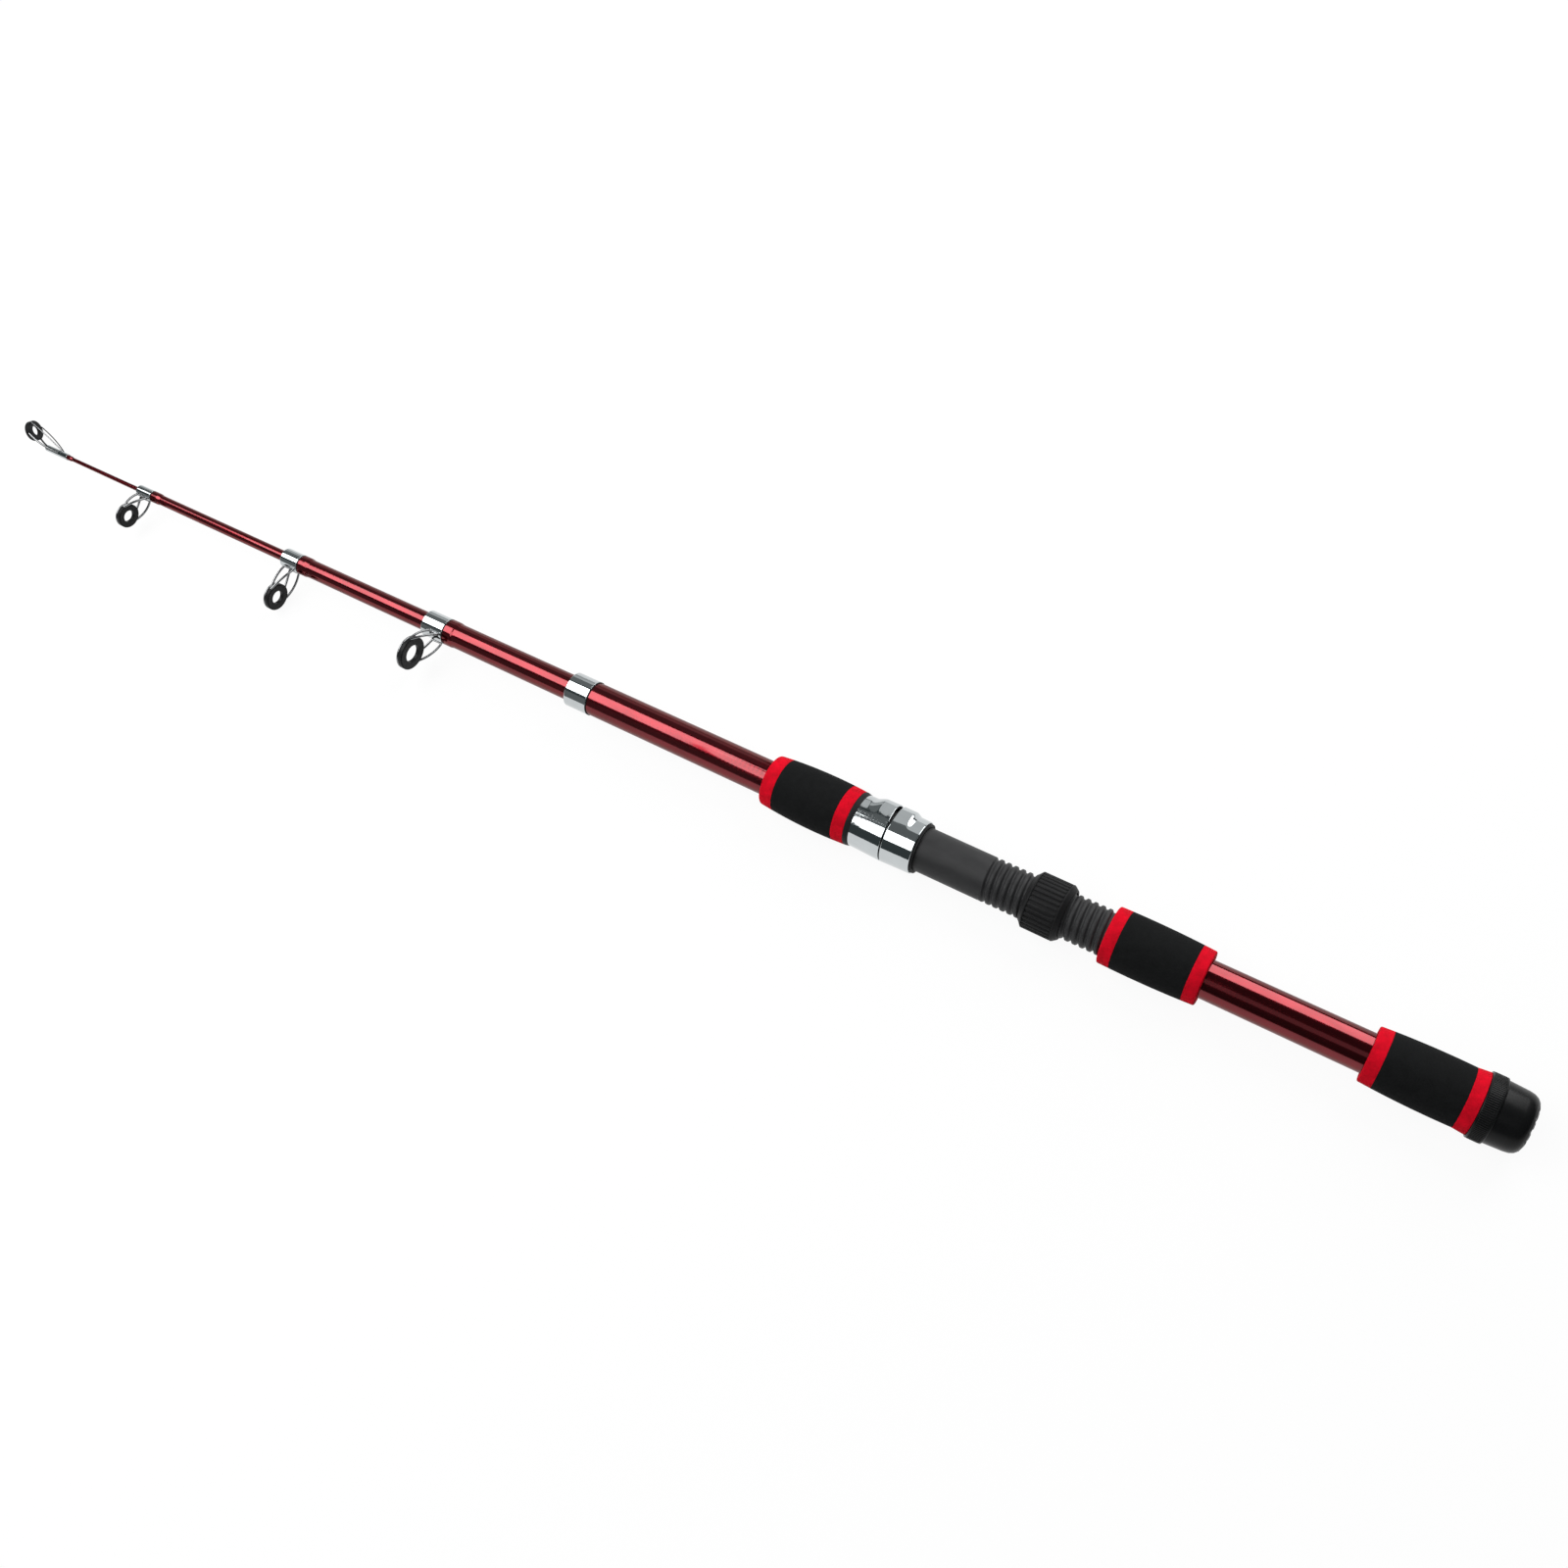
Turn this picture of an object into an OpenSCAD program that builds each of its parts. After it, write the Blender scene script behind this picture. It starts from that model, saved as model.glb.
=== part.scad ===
// Telescopic spinning rod, part pulled out, as it lies on a table.
// Millimetres. +X runs along the rod's axis from the butt face to the tip and +Z is up.
// The origin is the centre of the butt cap's end face.

/* [Butt blank] */
// Length from the butt face to the mouth
butt_len = 421; // [400:1:460]
// Outside diameter at the butt
blank_od = 16.3; // [15.6:0.1:16.5]
// How much the outside diameter drops from the butt to the mouth
blank_taper = 1.2; // [0.6:0.1:1.4]
// Wall of the butt tube
blank_wall = 0.95; // [0.8:0.05:1.1]

/* [Telescopic sections] */
// Outside diameter of section 4 at its mouth
od_4 = 11.6; // [11:0.1:11.9]
// Outside diameter of section 3 at its mouth
od_3 = 8.7; // [8.1:0.1:8.9]
// Outside diameter of section 2 at its mouth
od_2 = 5.0; // [4.7:0.05:5.6]
// Outside diameter of the tip
od_tip = 1.9; // [1.5:0.05:2.1]
// Wall of sections 4 and 3
section_wall = 0.85; // [0.75:0.05:0.95]
// Wall of section 2
thin_wall = 0.6; // [0.5:0.05:0.65]
// How far section 4 is pulled out
pull_4 = 83; // [30:0.5:300]
// How far section 3 is pulled out
pull_3 = 88.5; // [30:0.5:300]
// How far section 2 is pulled out
pull_2 = 99.1; // [30:0.5:300]
// How far the tip is pulled out, to the front of the tip-top tube
pull_tip = 67.4; // [40:0.5:250]
// Length of a section that stays inside the one before it
overlap = 45; // [35:1:60]
// Clearance on the radius where a pulled-out section seats
seat_fit = 0.07; // [0.05:0.01:0.1]

/* [Collars] */
// Length of the winding check on the butt blank
check_len = 11.5; // [8:0.5:14]
// Length of the collar on section 4
collar_len_4 = 11.8; // [10.5:0.1:14]
// Length of the collar on section 3
collar_len_3 = 10.1; // [9.5:0.1:12]
// Length of the collar on section 2
collar_len_2 = 9.4; // [9:0.1:11]
// Sheet of the collars
collar_wall = 0.3; // [0.2:0.05:0.4]

/* [Guides] */
// Outside diameter of the guide ring on section 4
ring_od_4 = 15.1; // [13:0.1:16]
// Hole of the guide ring on section 4
ring_hole_4 = 8.4; // [7:0.1:9]
// Ring centre above the rod's axis on section 4
ring_height_4 = 18.3; // [17.5:0.1:22]
// Turn of the guide on section 4 about the rod
guide_roll_4 = 8; // [-30:1:30]
// Outside diameter of the guide ring on section 3
ring_od_3 = 12.4; // [10.5:0.1:13]
// Hole of the guide ring on section 3
ring_hole_3 = 6.5; // [5:0.1:7]
// Ring centre above the rod's axis on section 3
ring_height_3 = 19.3; // [16:0.1:21]
// Turn of the guide on section 3 about the rod
guide_roll_3 = -16; // [-30:1:30]
// Outside diameter of the guide ring on section 2
ring_od_2 = 11.2; // [10:0.1:12]
// Hole of the guide ring on section 2
ring_hole_2 = 6.0; // [4.5:0.1:6.2]
// Ring centre above the rod's axis on section 2
ring_height_2 = 14.6; // [13.5:0.1:17]
// Turn of the guide on section 2 about the rod
guide_roll_2 = -6; // [-30:1:30]
// Guide wire
wire_d = 1.3; // [1:0.05:1.5]

/* [Tip-top] */
// Outside diameter of the tip ring
tip_ring_od = 9.3; // [8.5:0.1:10]
// Hole of the tip ring
tip_ring_hole = 5.0; // [4:0.1:5.5]
// Lean of the tip ring towards the tip
tip_lean = 32; // [25:1:45]
// Turn of the tip-top about the rod
tip_roll = 159; // [120:1:190]

/* [Grips] */
// Length of the butt grip
butt_grip_len = 40.2; // [35:0.1:60]
// Largest diameter of the butt grip's barrel
butt_grip_od = 24.0; // [23:0.1:24.4]
// Bare blank between the butt grip and the rear grip
bare_len = 63.3; // [30:0.1:80]
// Length of the rear grip
rear_grip_len = 40; // [35:0.1:50]
// Largest diameter of the rear grip
rear_grip_od = 24.3; // [23.4:0.1:25]
// Length of the fore grip
fore_grip_len = 42; // [36:0.1:50]
// Largest diameter of the fore grip
fore_grip_od = 24.9; // [24:0.1:26]
// Width of the red end rings
end_ring_w = 5.3; // [4:0.1:7]

/* [Reel seat] */
// Outside diameter of the seat and its thread
seat_od = 19; // [18.8:0.1:19.3]
// Length of the threaded part
thread_len = 52.9; // [48:0.1:60]
// Length of the smooth part behind the moving hood
smooth_len = 30.1; // [24:0.1:36]
// Length of the moving hood
hood_len = 13.3; // [12:0.1:16]
// Length of the fixed hood
fixed_hood_len = 15.8; // [14:0.1:18]
// Sheet of the hoods
hood_wall = 0.6; // [0.4:0.05:0.7]
// Offset of the foot pocket from the rod's axis
pocket_offset = 4.8; // [4.5:0.1:5.2]
// Radius of the foot pocket's bulge
pocket_r = 8.3; // [8:0.1:8.6]
// Turn of the foot pockets about the rod
pocket_roll = 139; // [110:1:170]
// Nut's place on the thread, from the rear grip
nut_place = 17.5; // [1:0.1:26]
// Length of the nut
nut_len = 17.2; // [12:0.1:20]
// Outside diameter of the nut
nut_od = 24.2; // [23:0.1:25]
// Number of grooves round the nut
nut_grooves = 34; // [24:1:38]

/* [Butt cap] */
// Length of the cap outside the blank
cap_len = 19.3; // [16:0.1:22]
// Outside diameter of the knurled flange
cap_od = 26.1; // [25.5:0.1:27]
// Number of notches round the end face
notch_n = 12; // [8:1:16]

/* [Hidden] */

$fn = 96;

RED = [0.55, 0.03, 0.08];
FOAM_RED = [0.78, 0.05, 0.08];
FOAM = [0.05, 0.05, 0.06];
BLACK = [0.09, 0.09, 0.1];
CHROME = [0.8, 0.82, 0.84];
CORK = [0.7, 0.52, 0.33];

// Glue line between pieces that are fixed together
glue = 0.05;
// Gap between flat faces of pieces that part
face_gap = 0.1;
// Thickness of a collar's front lip
lip = 0.6;
// Length of the whipping behind a collar and of its run-out
whip_len = 4;
whip_run = 1.5;

// Stations along the handle
butt_grip_x0 = cap_len;
butt_grip_x1 = butt_grip_x0 + butt_grip_len;
rear_grip_x0 = butt_grip_x1 + bare_len;
rear_grip_x1 = rear_grip_x0 + rear_grip_len;
thread_x1 = rear_grip_x1 + thread_len;
hood_x0 = thread_x1 + smooth_len;
hood_x1 = hood_x0 + hood_len;
hood_gap = 0.3;
fixed_x0 = hood_x1 + hood_gap;
fixed_x1 = fixed_x0 + fixed_hood_len;
fore_grip_x1 = fixed_x1 + fore_grip_len;

// Butt blank
blank_x0 = cap_len + face_gap;
butt_mouth_x = butt_len - lip - glue;
function mix(a, b, t) = a + (b - a) * t;
function butt_r(x) = mix(blank_od, blank_od - blank_taper, (x - blank_x0) / (butt_len - blank_x0)) / 2;
function butt_bore_r(x) = butt_r(x) - blank_wall;

// Sections: the length of each, the collar fronts as pulled out, and the radii at mouth and base
section_len = butt_len - 31;
front_4 = butt_len + pull_4;
front_3 = front_4 + pull_3;
front_2 = front_3 + pull_2;
tip_front = front_2 + pull_tip;
tip_len = section_len - 22;
tip_x1 = tip_front - 2;
tip_x0 = tip_x1 - tip_len;
t_seat = overlap / section_len;

base_r_4 = butt_bore_r(butt_len - overlap) - seat_fit;
mouth_r_4 = od_4 / 2;
bore_r_4 = mouth_r_4 - section_wall;
bore_base_r_4 = base_r_4 - section_wall;

base_r_3 = mix(bore_r_4, bore_base_r_4, t_seat) - seat_fit;
mouth_r_3 = od_3 / 2;
bore_r_3 = mouth_r_3 - section_wall;
bore_base_r_3 = base_r_3 - section_wall;

base_r_2 = mix(bore_r_3, bore_base_r_3, t_seat) - seat_fit;
mouth_r_2 = od_2 / 2;
bore_r_2 = mouth_r_2 - thin_wall;
bore_base_r_2 = base_r_2 - thin_wall - 0.1;
// Section 2 keeps almost one diameter over its front part
slow_len_2 = 110;
slow_r_2 = mouth_r_2 + 0.12;

tip_r = od_tip / 2;
tip_base_r = mix(bore_r_2, bore_base_r_2, t_seat) - seat_fit;

// Rings: thickness, length of the straight land in the hole, and the band round them
ring_t = 2;
ring_land = 1.3;
band_w = 1.4;
band_t = 0.4;
// Place of the wire loop in front of a ring
loop_x = ring_t / 2 + glue + wire_d / 2;

function collar_r(tube_r) = tube_r + glue + collar_wall;
function loop_r(od) = od / 2 - 0.1;
function arc_r(x, apex_x, apex_r, big_r) = apex_r - big_r + sqrt(big_r * big_r - (x - apex_x) * (x - apex_x));

// A solid turned about the rod's axis, from points [radius, station]
module turned(points) {
    rotate([0, 90, 0]) rotate_extrude() polygon(points);
}

// A wire bent to the circle through three points
module wire_arc(a, m, b, r) {
    u = m - a;
    v = b - a;
    w = cross(u, v);
    c = a + cross((u * u) * v - (v * v) * u, w) / (2 * (w * w));
    big_r = norm(a - c);
    e1 = (a - c) / big_r;
    n = w / norm(w);
    e2 = cross(n, e1);
    sweep = atan2((b - c) * e2, (b - c) * e1);
    translate(c)
        rotate([atan2(e2[2], n[2]), -asin(e1[2]), atan2(e1[1], e1[0])])
            rotate_extrude(angle = sweep < 0 ? sweep + 360 : sweep)
                translate([big_r, 0]) circle(r = r, $fn = 32);
}

// A foam sleeve with an arched outside; c0 and c1 break the edges of its ends
module arched(x0, x1, apex_x, apex_r, big_r, c0, c1) {
    e0 = arc_r(x0 + c0, apex_x, apex_r, big_r);
    e1 = arc_r(x1 - c1, apex_x, apex_r, big_r);
    rear = c0 > 0 ? [[e0 - c0, x0], [e0 + 1, x0 + c0 + 1]] : [[e0 + 1, x0]];
    nose = c1 > 0 ? [[e1 + 1, x1 - c1 - 1], [e1 - c1, x1]] : [[e1 + 1, x1]];
    crown = [[apex_r + 3, x0 + c0 + 2], [apex_r + 3, x1 - c1 - 2]];
    rotate([0, 90, 0]) rotate_extrude()
        intersection() {
            translate([apex_r - big_r, apex_x]) circle(r = big_r, $fn = 720);
            polygon(concat([[butt_r(x0) + glue, x0]], rear, crown, nose, [[butt_r(x1) + glue, x1]]));
        }
}

// A chrome collar over a tube's mouth, with a thin lip over the tube's end
module collar(x0, x1, rear_r, front_r, hole_r) {
    out_r = max(rear_r, front_r) + glue + collar_wall;
    turned([[rear_r + glue, x0], [out_r, x0], [out_r, x1 - 0.3], [out_r - 0.3, x1],
            [hole_r, x1], [hole_r, x1 - lip], [front_r + glue, x1 - lip]]);
}

// Outside radius of a straight-tapered section at station x
function section_r(x, front, mouth_r, base_r) = mix(mouth_r, base_r, (front - x) / section_len);

// A section's outside points from the whipping to the mouth
function mouth_points(front, collar_len, r_at_whip, r_at_collar, mouth_r, whip_r) =
    let (xc = front - collar_len - glue)
    [[r_at_whip, xc - whip_len - whip_run], [whip_r, xc - whip_len], [whip_r, xc],
     [r_at_collar, xc], [mouth_r, front - lip - glue]];

module tapered_section(front, collar_len, mouth_r, base_r, mouth_bore, base_bore) {
    xc = front - collar_len;
    whip_r = collar_r(section_r(xc, front, mouth_r, base_r));
    turned(concat(
        [[base_bore, front - section_len], [base_r, front - section_len]],
        mouth_points(front, collar_len, section_r(xc - whip_len - whip_run, front, mouth_r, base_r),
                     section_r(xc, front, mouth_r, base_r), mouth_r, whip_r),
        [[mouth_bore, front - lip - glue]]));
}

// A guide ring about the X axis: straight land in the hole, eased to both faces
module guide_ring(hole_d, od) {
    h = hole_d / 2;
    o = od / 2;
    ease = min(0.9, (o - h) * 0.4);
    turned([[h, -ring_land / 2], [h + ease, -ring_t / 2], [o, -ring_t / 2],
            [o, ring_t / 2], [h + ease, ring_t / 2], [h, ring_land / 2]]);
}

// The band that holds a guide ring, and the wire loop it ends in before the ring
module guide_band(od) {
    b = od / 2 + glue;
    turned([[b, -band_w / 2], [b + band_t, -band_w / 2], [b + band_t, loop_x], [b, loop_x]]);
    rotate([0, 90, 0]) rotate_extrude() translate([loop_r(od), loop_x]) circle(r = wire_d / 2, $fn = 32);
}

// A guide frame: the band and two bent wires on each side, shaped to the collar they are brazed to.
// Built with the ring above the rod's axis along +Y and turned to its place.
module guide_frame(x_ring, x_front_foot, x_rear_foot, foot_r, foot_w, height, od, roll) {
    band_r = od / 2 + glue + band_t;
    foot_h = sqrt(foot_r * foot_r - foot_w * foot_w) - 0.4;
    front_end = [x_ring + loop_x, height - loop_r(od) * cos(50), loop_r(od) * sin(50)];
    rear_end = [x_ring - 0.2, height - band_r * cos(74), band_r * sin(74)];
    front_foot = [x_front_foot, foot_h, foot_w];
    rear_foot = [x_rear_foot, foot_h, foot_w];
    front_mid = mix(front_foot, front_end, 0.5) + [0.5, 0, 1.4];
    rear_mid = mix(rear_foot, rear_end, 0.5) + [-0.6, 0, 2];
    rotate([roll, 0, 0])
        difference() {
            union() {
                translate([x_ring, height, 0]) guide_band(od);
                for (side = [0, 1]) mirror([0, 0, side]) {
                    wire_arc(front_foot, front_mid, front_end, wire_d / 2);
                    wire_arc(rear_foot, rear_mid, rear_end, wire_d / 2);
                }
            }
            translate([x_rear_foot - 5, 0, 0]) rotate([0, 90, 0]) cylinder(h = 20, r = foot_r + 0.03);
            translate([x_ring - 2, height, 0]) rotate([0, 90, 0])
                cylinder(h = 2 + ring_t / 2 + glue, r = od / 2 + glue);
        }
}

// A hood's foot pocket: a round-ended bar that starts just before the mouth at x = 0 and runs along dir
module pocket(len, r, dir) {
    straight = len - pocket_r - 0.4;
    rotate([pocket_roll, 0, 0]) translate([0, pocket_offset, 0])
        rotate([0, dir * 90, 0]) rotate_extrude() {
            translate([0, -0.5]) square([r, straight + 0.5]);
            intersection() {
                translate([0, straight]) circle(r = r);
                square([r + 1, straight + r + 1]);
            }
        }
}

// A hood's outside: a round skirt from the mouth at x = 0 along dir, with the pocket's bulge
module hood_form(len, mouth_r, end_r, inset, dir) {
    x_far = dir * len;
    intersection() {
        union() {
            turned(dir > 0 ? [[0, 0], [mouth_r - inset, 0], [end_r - inset, x_far], [0, x_far]]
                           : [[0, x_far], [end_r - inset, x_far], [mouth_r - inset, 0], [0, 0]]);
            pocket(len, pocket_r - inset, dir);
        }
        translate([min(0, x_far), -20, -20]) cube([len, 40, 40]);
    }
}

hood_mouth_r = seat_od / 2 + 1.9;
hood_rear_r = seat_od / 2 + 1.2;
hood_nose_r = seat_od / 2 + 0.75;
slide_gap = 0.25;
key_roll = 249;
key_w = 3.6;
key_d = 0.6;

module fixed_hood() {
    color(CHROME)
        translate([fixed_x0, 0, 0])
            difference() {
                hood_form(fixed_hood_len - face_gap, hood_mouth_r, hood_nose_r, 0, 1);
                translate([-1, 0, 0]) hood_cut(fixed_hood_len + 2, hood_mouth_r, hood_nose_r);
                pocket(fixed_hood_len - face_gap, pocket_r - hood_wall, 1);
            }
}

// The inside of a hood's round skirt, run out past both ends
module hood_cut(len, near_r, far_r) {
    turned([[0, 0], [near_r - hood_wall, 0], [near_r - hood_wall, 1], [far_r - hood_wall, len - 1],
            [far_r - hood_wall, len], [0, len]]);
}

module moving_hood_shell() {
    color(CHROME)
        translate([hood_x1, 0, 0])
            difference() {
                hood_form(hood_len, hood_mouth_r, hood_rear_r, 0, -1);
                translate([-hood_len - 1, 0, 0]) hood_cut(hood_len + 2, hood_rear_r, hood_mouth_r);
                pocket(hood_len, pocket_r - hood_wall, -1);
            }
}

module moving_hood_liner() {
    in_r = seat_od / 2 + slide_gap;
    skin = hood_wall + glue;
    color(BLACK)
        difference() {
            union() {
                turned([[in_r, hood_x0 - 1], [hood_rear_r + 0.1, hood_x0 - 1],
                        [hood_rear_r + 0.1, hood_x0 - glue], [hood_rear_r - skin, hood_x0 - glue],
                        [hood_mouth_r - skin, hood_x1 - 0.2], [in_r, hood_x1 - 0.2]]);
                rotate([key_roll, 0, 0])
                    translate([hood_x0 - 1, seat_od / 2 - key_d + 0.15, -key_w / 2 + 0.2])
                        cube([hood_len + 0.8, key_d + slide_gap + 0.1, key_w - 0.4]);
            }
            translate([hood_x1, 0, 0]) pocket(hood_len, pocket_r - hood_wall, -1);
        }
}

module seat_body() {
    seat_r = seat_od / 2;
    bore = blank_od / 2 + 0.2;
    skin = hood_wall + glue;
    color(BLACK)
        difference() {
            union() {
                turned([[bore, rear_grip_x1], [seat_r - 0.5, rear_grip_x1], [seat_r, rear_grip_x1 + 0.5],
                        [seat_r, fixed_x1 - 4], [seat_r - 0.4, fixed_x1], [bore, fixed_x1]]);
                difference() {
                    translate([fixed_x0, 0, 0])
                        turned([[bore, 0.5], [hood_mouth_r - skin - 0.05, 0.5],
                                [hood_nose_r - skin, fixed_hood_len], [bore, fixed_hood_len]]);
                    translate([fixed_x0, 0, 0]) pocket(fixed_hood_len - face_gap, pocket_r - hood_wall, 1);
                }
            }
            rotate([key_roll, 0, 0])
                translate([rear_grip_x1 - 1, seat_r - key_d, -key_w / 2])
                    cube([fixed_x0 - rear_grip_x1 + 1, 4, key_w]);
        }
}

module seat_nut() {
    x0 = rear_grip_x1 + nut_place;
    x1 = x0 + nut_len;
    bore = seat_od / 2 + 0.2;
    edge = bore + 0.9;
    color(BLACK)
        difference() {
            turned([[bore, x0], [edge, x0], [nut_od / 2, x0 + 3.4], [nut_od / 2, x1 - 3.4],
                    [edge, x1], [bore, x1]]);
            for (i = [0 : nut_grooves - 1]) rotate([i * 360 / nut_grooves, 0, 0])
                translate([x0 + 3.9, nut_od / 2 + 0.15, 0])
                    rotate([0, 90, 0]) cylinder(h = nut_len - 7.8, r = 0.65, $fn = 24);
        }
}

module arbor(x0, x1) {
    color(CORK)
        turned([[butt_r(x0) + glue, x0], [blank_od / 2 + 0.15, x0],
                [blank_od / 2 + 0.15, x1], [butt_r(x1) + glue, x1]]);
}

module seat_arbor_front() {
    arbor(fixed_x0 - 26, fixed_x0 + 1);
}

module seat_arbor_rear() {
    arbor(rear_grip_x1 + 3, rear_grip_x1 + 30);
}

module butt_blank() {
    color(RED)
        turned([[butt_bore_r(blank_x0), blank_x0], [butt_r(blank_x0), blank_x0],
                [butt_r(butt_mouth_x), butt_mouth_x], [butt_bore_r(butt_mouth_x), butt_mouth_x]]);
}

module winding_check() {
    color(CHROME)
        collar(butt_len - check_len, butt_len, butt_r(butt_len - check_len), butt_r(butt_len - lip),
               butt_bore_r(butt_len) + 0.05);
}

module butt_insert() {
    x1 = blank_x0 + 15.6;
    color(BLACK)
        turned([[plug_r + 0.15, blank_x0], [butt_bore_r(blank_x0) - glue, blank_x0],
                [butt_bore_r(x1) - glue, x1], [plug_r + 0.15, x1]]);
}

fore_apex_x = fixed_x1 + 17;
fore_arc = 222;
trim_w = 2.3;
fore_ring_x = fixed_x1 + trim_w;
fore_sleeve_x = fore_ring_x + end_ring_w - 0.9;
fore_nose_x = fore_grip_x1 - end_ring_w - 1;
// The bevelled ring between the fixed hood and the fore grip
module fore_grip_trim_ring() {
    rear_r = hood_nose_r + 0.35;
    front_r = arc_r(fore_ring_x, fore_apex_x, fore_grip_od / 2, fore_arc) - 0.1;
    color(BLACK)
        turned([[butt_r(fixed_x1) + glue, fixed_x1], [rear_r, fixed_x1], [front_r, fore_ring_x - 0.6],
                [front_r, fore_ring_x], [butt_r(fore_ring_x) + glue, fore_ring_x]]);
}
module fore_grip_rear_ring() {
    color(FOAM_RED) arched(fore_ring_x, fore_sleeve_x, fore_apex_x, fore_grip_od / 2, fore_arc, 0, 0);
}
module fore_grip_sleeve() {
    color(FOAM) arched(fore_sleeve_x, fore_nose_x, fore_apex_x, fore_grip_od / 2, fore_arc, 0, 0);
}
module fore_grip_front_ring() {
    color(FOAM_RED) arched(fore_nose_x, fore_grip_x1, fore_apex_x, fore_grip_od / 2, fore_arc, 0, 0.9);
}

rear_apex_x = rear_grip_x0 + rear_grip_len * 0.68;
rear_arc = 430;
module rear_grip_rear_ring() {
    color(FOAM_RED) arched(rear_grip_x0, rear_grip_x0 + end_ring_w, rear_apex_x,
                           rear_grip_od / 2, rear_arc, 0.8, 0);
}
module rear_grip_sleeve() {
    color(FOAM) arched(rear_grip_x0 + end_ring_w, rear_grip_x1 - end_ring_w, rear_apex_x,
                       rear_grip_od / 2, rear_arc, 0, 0);
}
module rear_grip_front_ring() {
    color(FOAM_RED) arched(rear_grip_x1 - end_ring_w, rear_grip_x1, rear_apex_x,
                           rear_grip_od / 2, rear_arc, 0, 0.8);
}

butt_apex_x = butt_grip_x0 + 15;
butt_arc = 340;
butt_flare = 0.65;
module butt_grip_rear_ring() {
    x1 = butt_grip_x0 + end_ring_w - 0.3;
    r1 = arc_r(x1, butt_apex_x, butt_grip_od / 2, butt_arc);
    color(FOAM_RED)
        turned([[butt_r(blank_x0) + glue, blank_x0], [r1 + butt_flare, blank_x0],
                [r1, x1], [butt_r(x1) + glue, x1]]);
}
module butt_grip_sleeve() {
    color(FOAM) arched(butt_grip_x0 + end_ring_w - 0.3, butt_grip_x1 - end_ring_w, butt_apex_x,
                       butt_grip_od / 2, butt_arc, 0, 0);
}
module butt_grip_front_ring() {
    color(FOAM_RED) arched(butt_grip_x1 - end_ring_w, butt_grip_x1, butt_apex_x,
                           butt_grip_od / 2, butt_arc, 0, 0.8);
}

plug_r = 5.45;
plug_len = 13.8;
flange_len = 5.8;
cap_corner = 5;
module butt_cap() {
    body_len = cap_len - flange_len;
    body_r = cap_od / 2 - 0.75;
    heel_r = body_r - 0.7;
    face_r = heel_r - cap_corner;
    color(BLACK)
        difference() {
            union() {
                rotate([0, 90, 0]) rotate_extrude() {
                    polygon([[0, 0], [face_r, 0], [face_r, cap_corner], [heel_r, cap_corner],
                             [body_r, body_len], [0, body_len]]);
                    intersection() {
                        translate([face_r, cap_corner]) circle(r = cap_corner);
                        square([40, cap_corner + 0.1]);
                    }
                }
                turned([[0, body_len - 0.1], [cap_od / 2 - 0.4, body_len - 0.1],
                        [cap_od / 2, body_len + 0.4], [cap_od / 2, cap_len - 0.4],
                        [cap_od / 2 - 0.4, cap_len], [0, cap_len]]);
                turned([[0, cap_len - 0.1], [plug_r, cap_len - 0.1], [plug_r, cap_len + plug_len - 0.5],
                        [plug_r - 0.5, cap_len + plug_len], [0, cap_len + plug_len]]);
            }
            for (i = [0 : notch_n - 1]) rotate([i * 360 / notch_n, 0, 0])
                translate([0, face_r - 1.4, 0]) rotate([-90, 0, 0]) cylinder(h = 8, r = 1.05, $fn = 32);
        }
}

module cap_buffer() {
    x0 = cap_len + plug_len + glue;
    color(CORK)
        turned([[0, x0], [plug_r - 0.6, x0], [plug_r - 0.6, x0 + 3.4], [plug_r - 1.2, x0 + 4], [0, x0 + 4]]);
}

// Section 4 with the first guide
x_ring_4 = front_4 - 4;
foot_r_4 = collar_r(section_r(front_4 - collar_len_4, front_4, mouth_r_4, base_r_4));
module section_4_blank() {
    color(RED) tapered_section(front_4, collar_len_4, mouth_r_4, base_r_4, bore_r_4, bore_base_r_4);
}
module section_4_collar() {
    color(CHROME) collar(front_4 - collar_len_4, front_4,
                         section_r(front_4 - collar_len_4, front_4, mouth_r_4, base_r_4),
                         mouth_r_4, bore_r_4 + 0.05);
}
module section_4_frame() {
    color(CHROME) guide_frame(x_ring_4, front_4 - 5.2, front_4 - 10.5, foot_r_4, 3.4,
                              ring_height_4, ring_od_4, guide_roll_4);
}
module section_4_ring() {
    color(BLACK) rotate([guide_roll_4, 0, 0]) translate([x_ring_4, ring_height_4, 0])
        guide_ring(ring_hole_4, ring_od_4);
}

// Section 3 with the second guide
x_ring_3 = front_3 - 5.4;
foot_r_3 = collar_r(section_r(front_3 - collar_len_3, front_3, mouth_r_3, base_r_3));
module section_3_blank() {
    color(RED) tapered_section(front_3, collar_len_3, mouth_r_3, base_r_3, bore_r_3, bore_base_r_3);
}
module section_3_collar() {
    color(CHROME) collar(front_3 - collar_len_3, front_3,
                         section_r(front_3 - collar_len_3, front_3, mouth_r_3, base_r_3),
                         mouth_r_3, bore_r_3 + 0.05);
}
module section_3_frame() {
    color(CHROME) guide_frame(x_ring_3, front_3 - 3, front_3 - 8.6, foot_r_3, 2.4,
                              ring_height_3, ring_od_3, guide_roll_3);
}
module section_3_ring() {
    color(BLACK) rotate([guide_roll_3, 0, 0]) translate([x_ring_3, ring_height_3, 0])
        guide_ring(ring_hole_3, ring_od_3);
}

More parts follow.
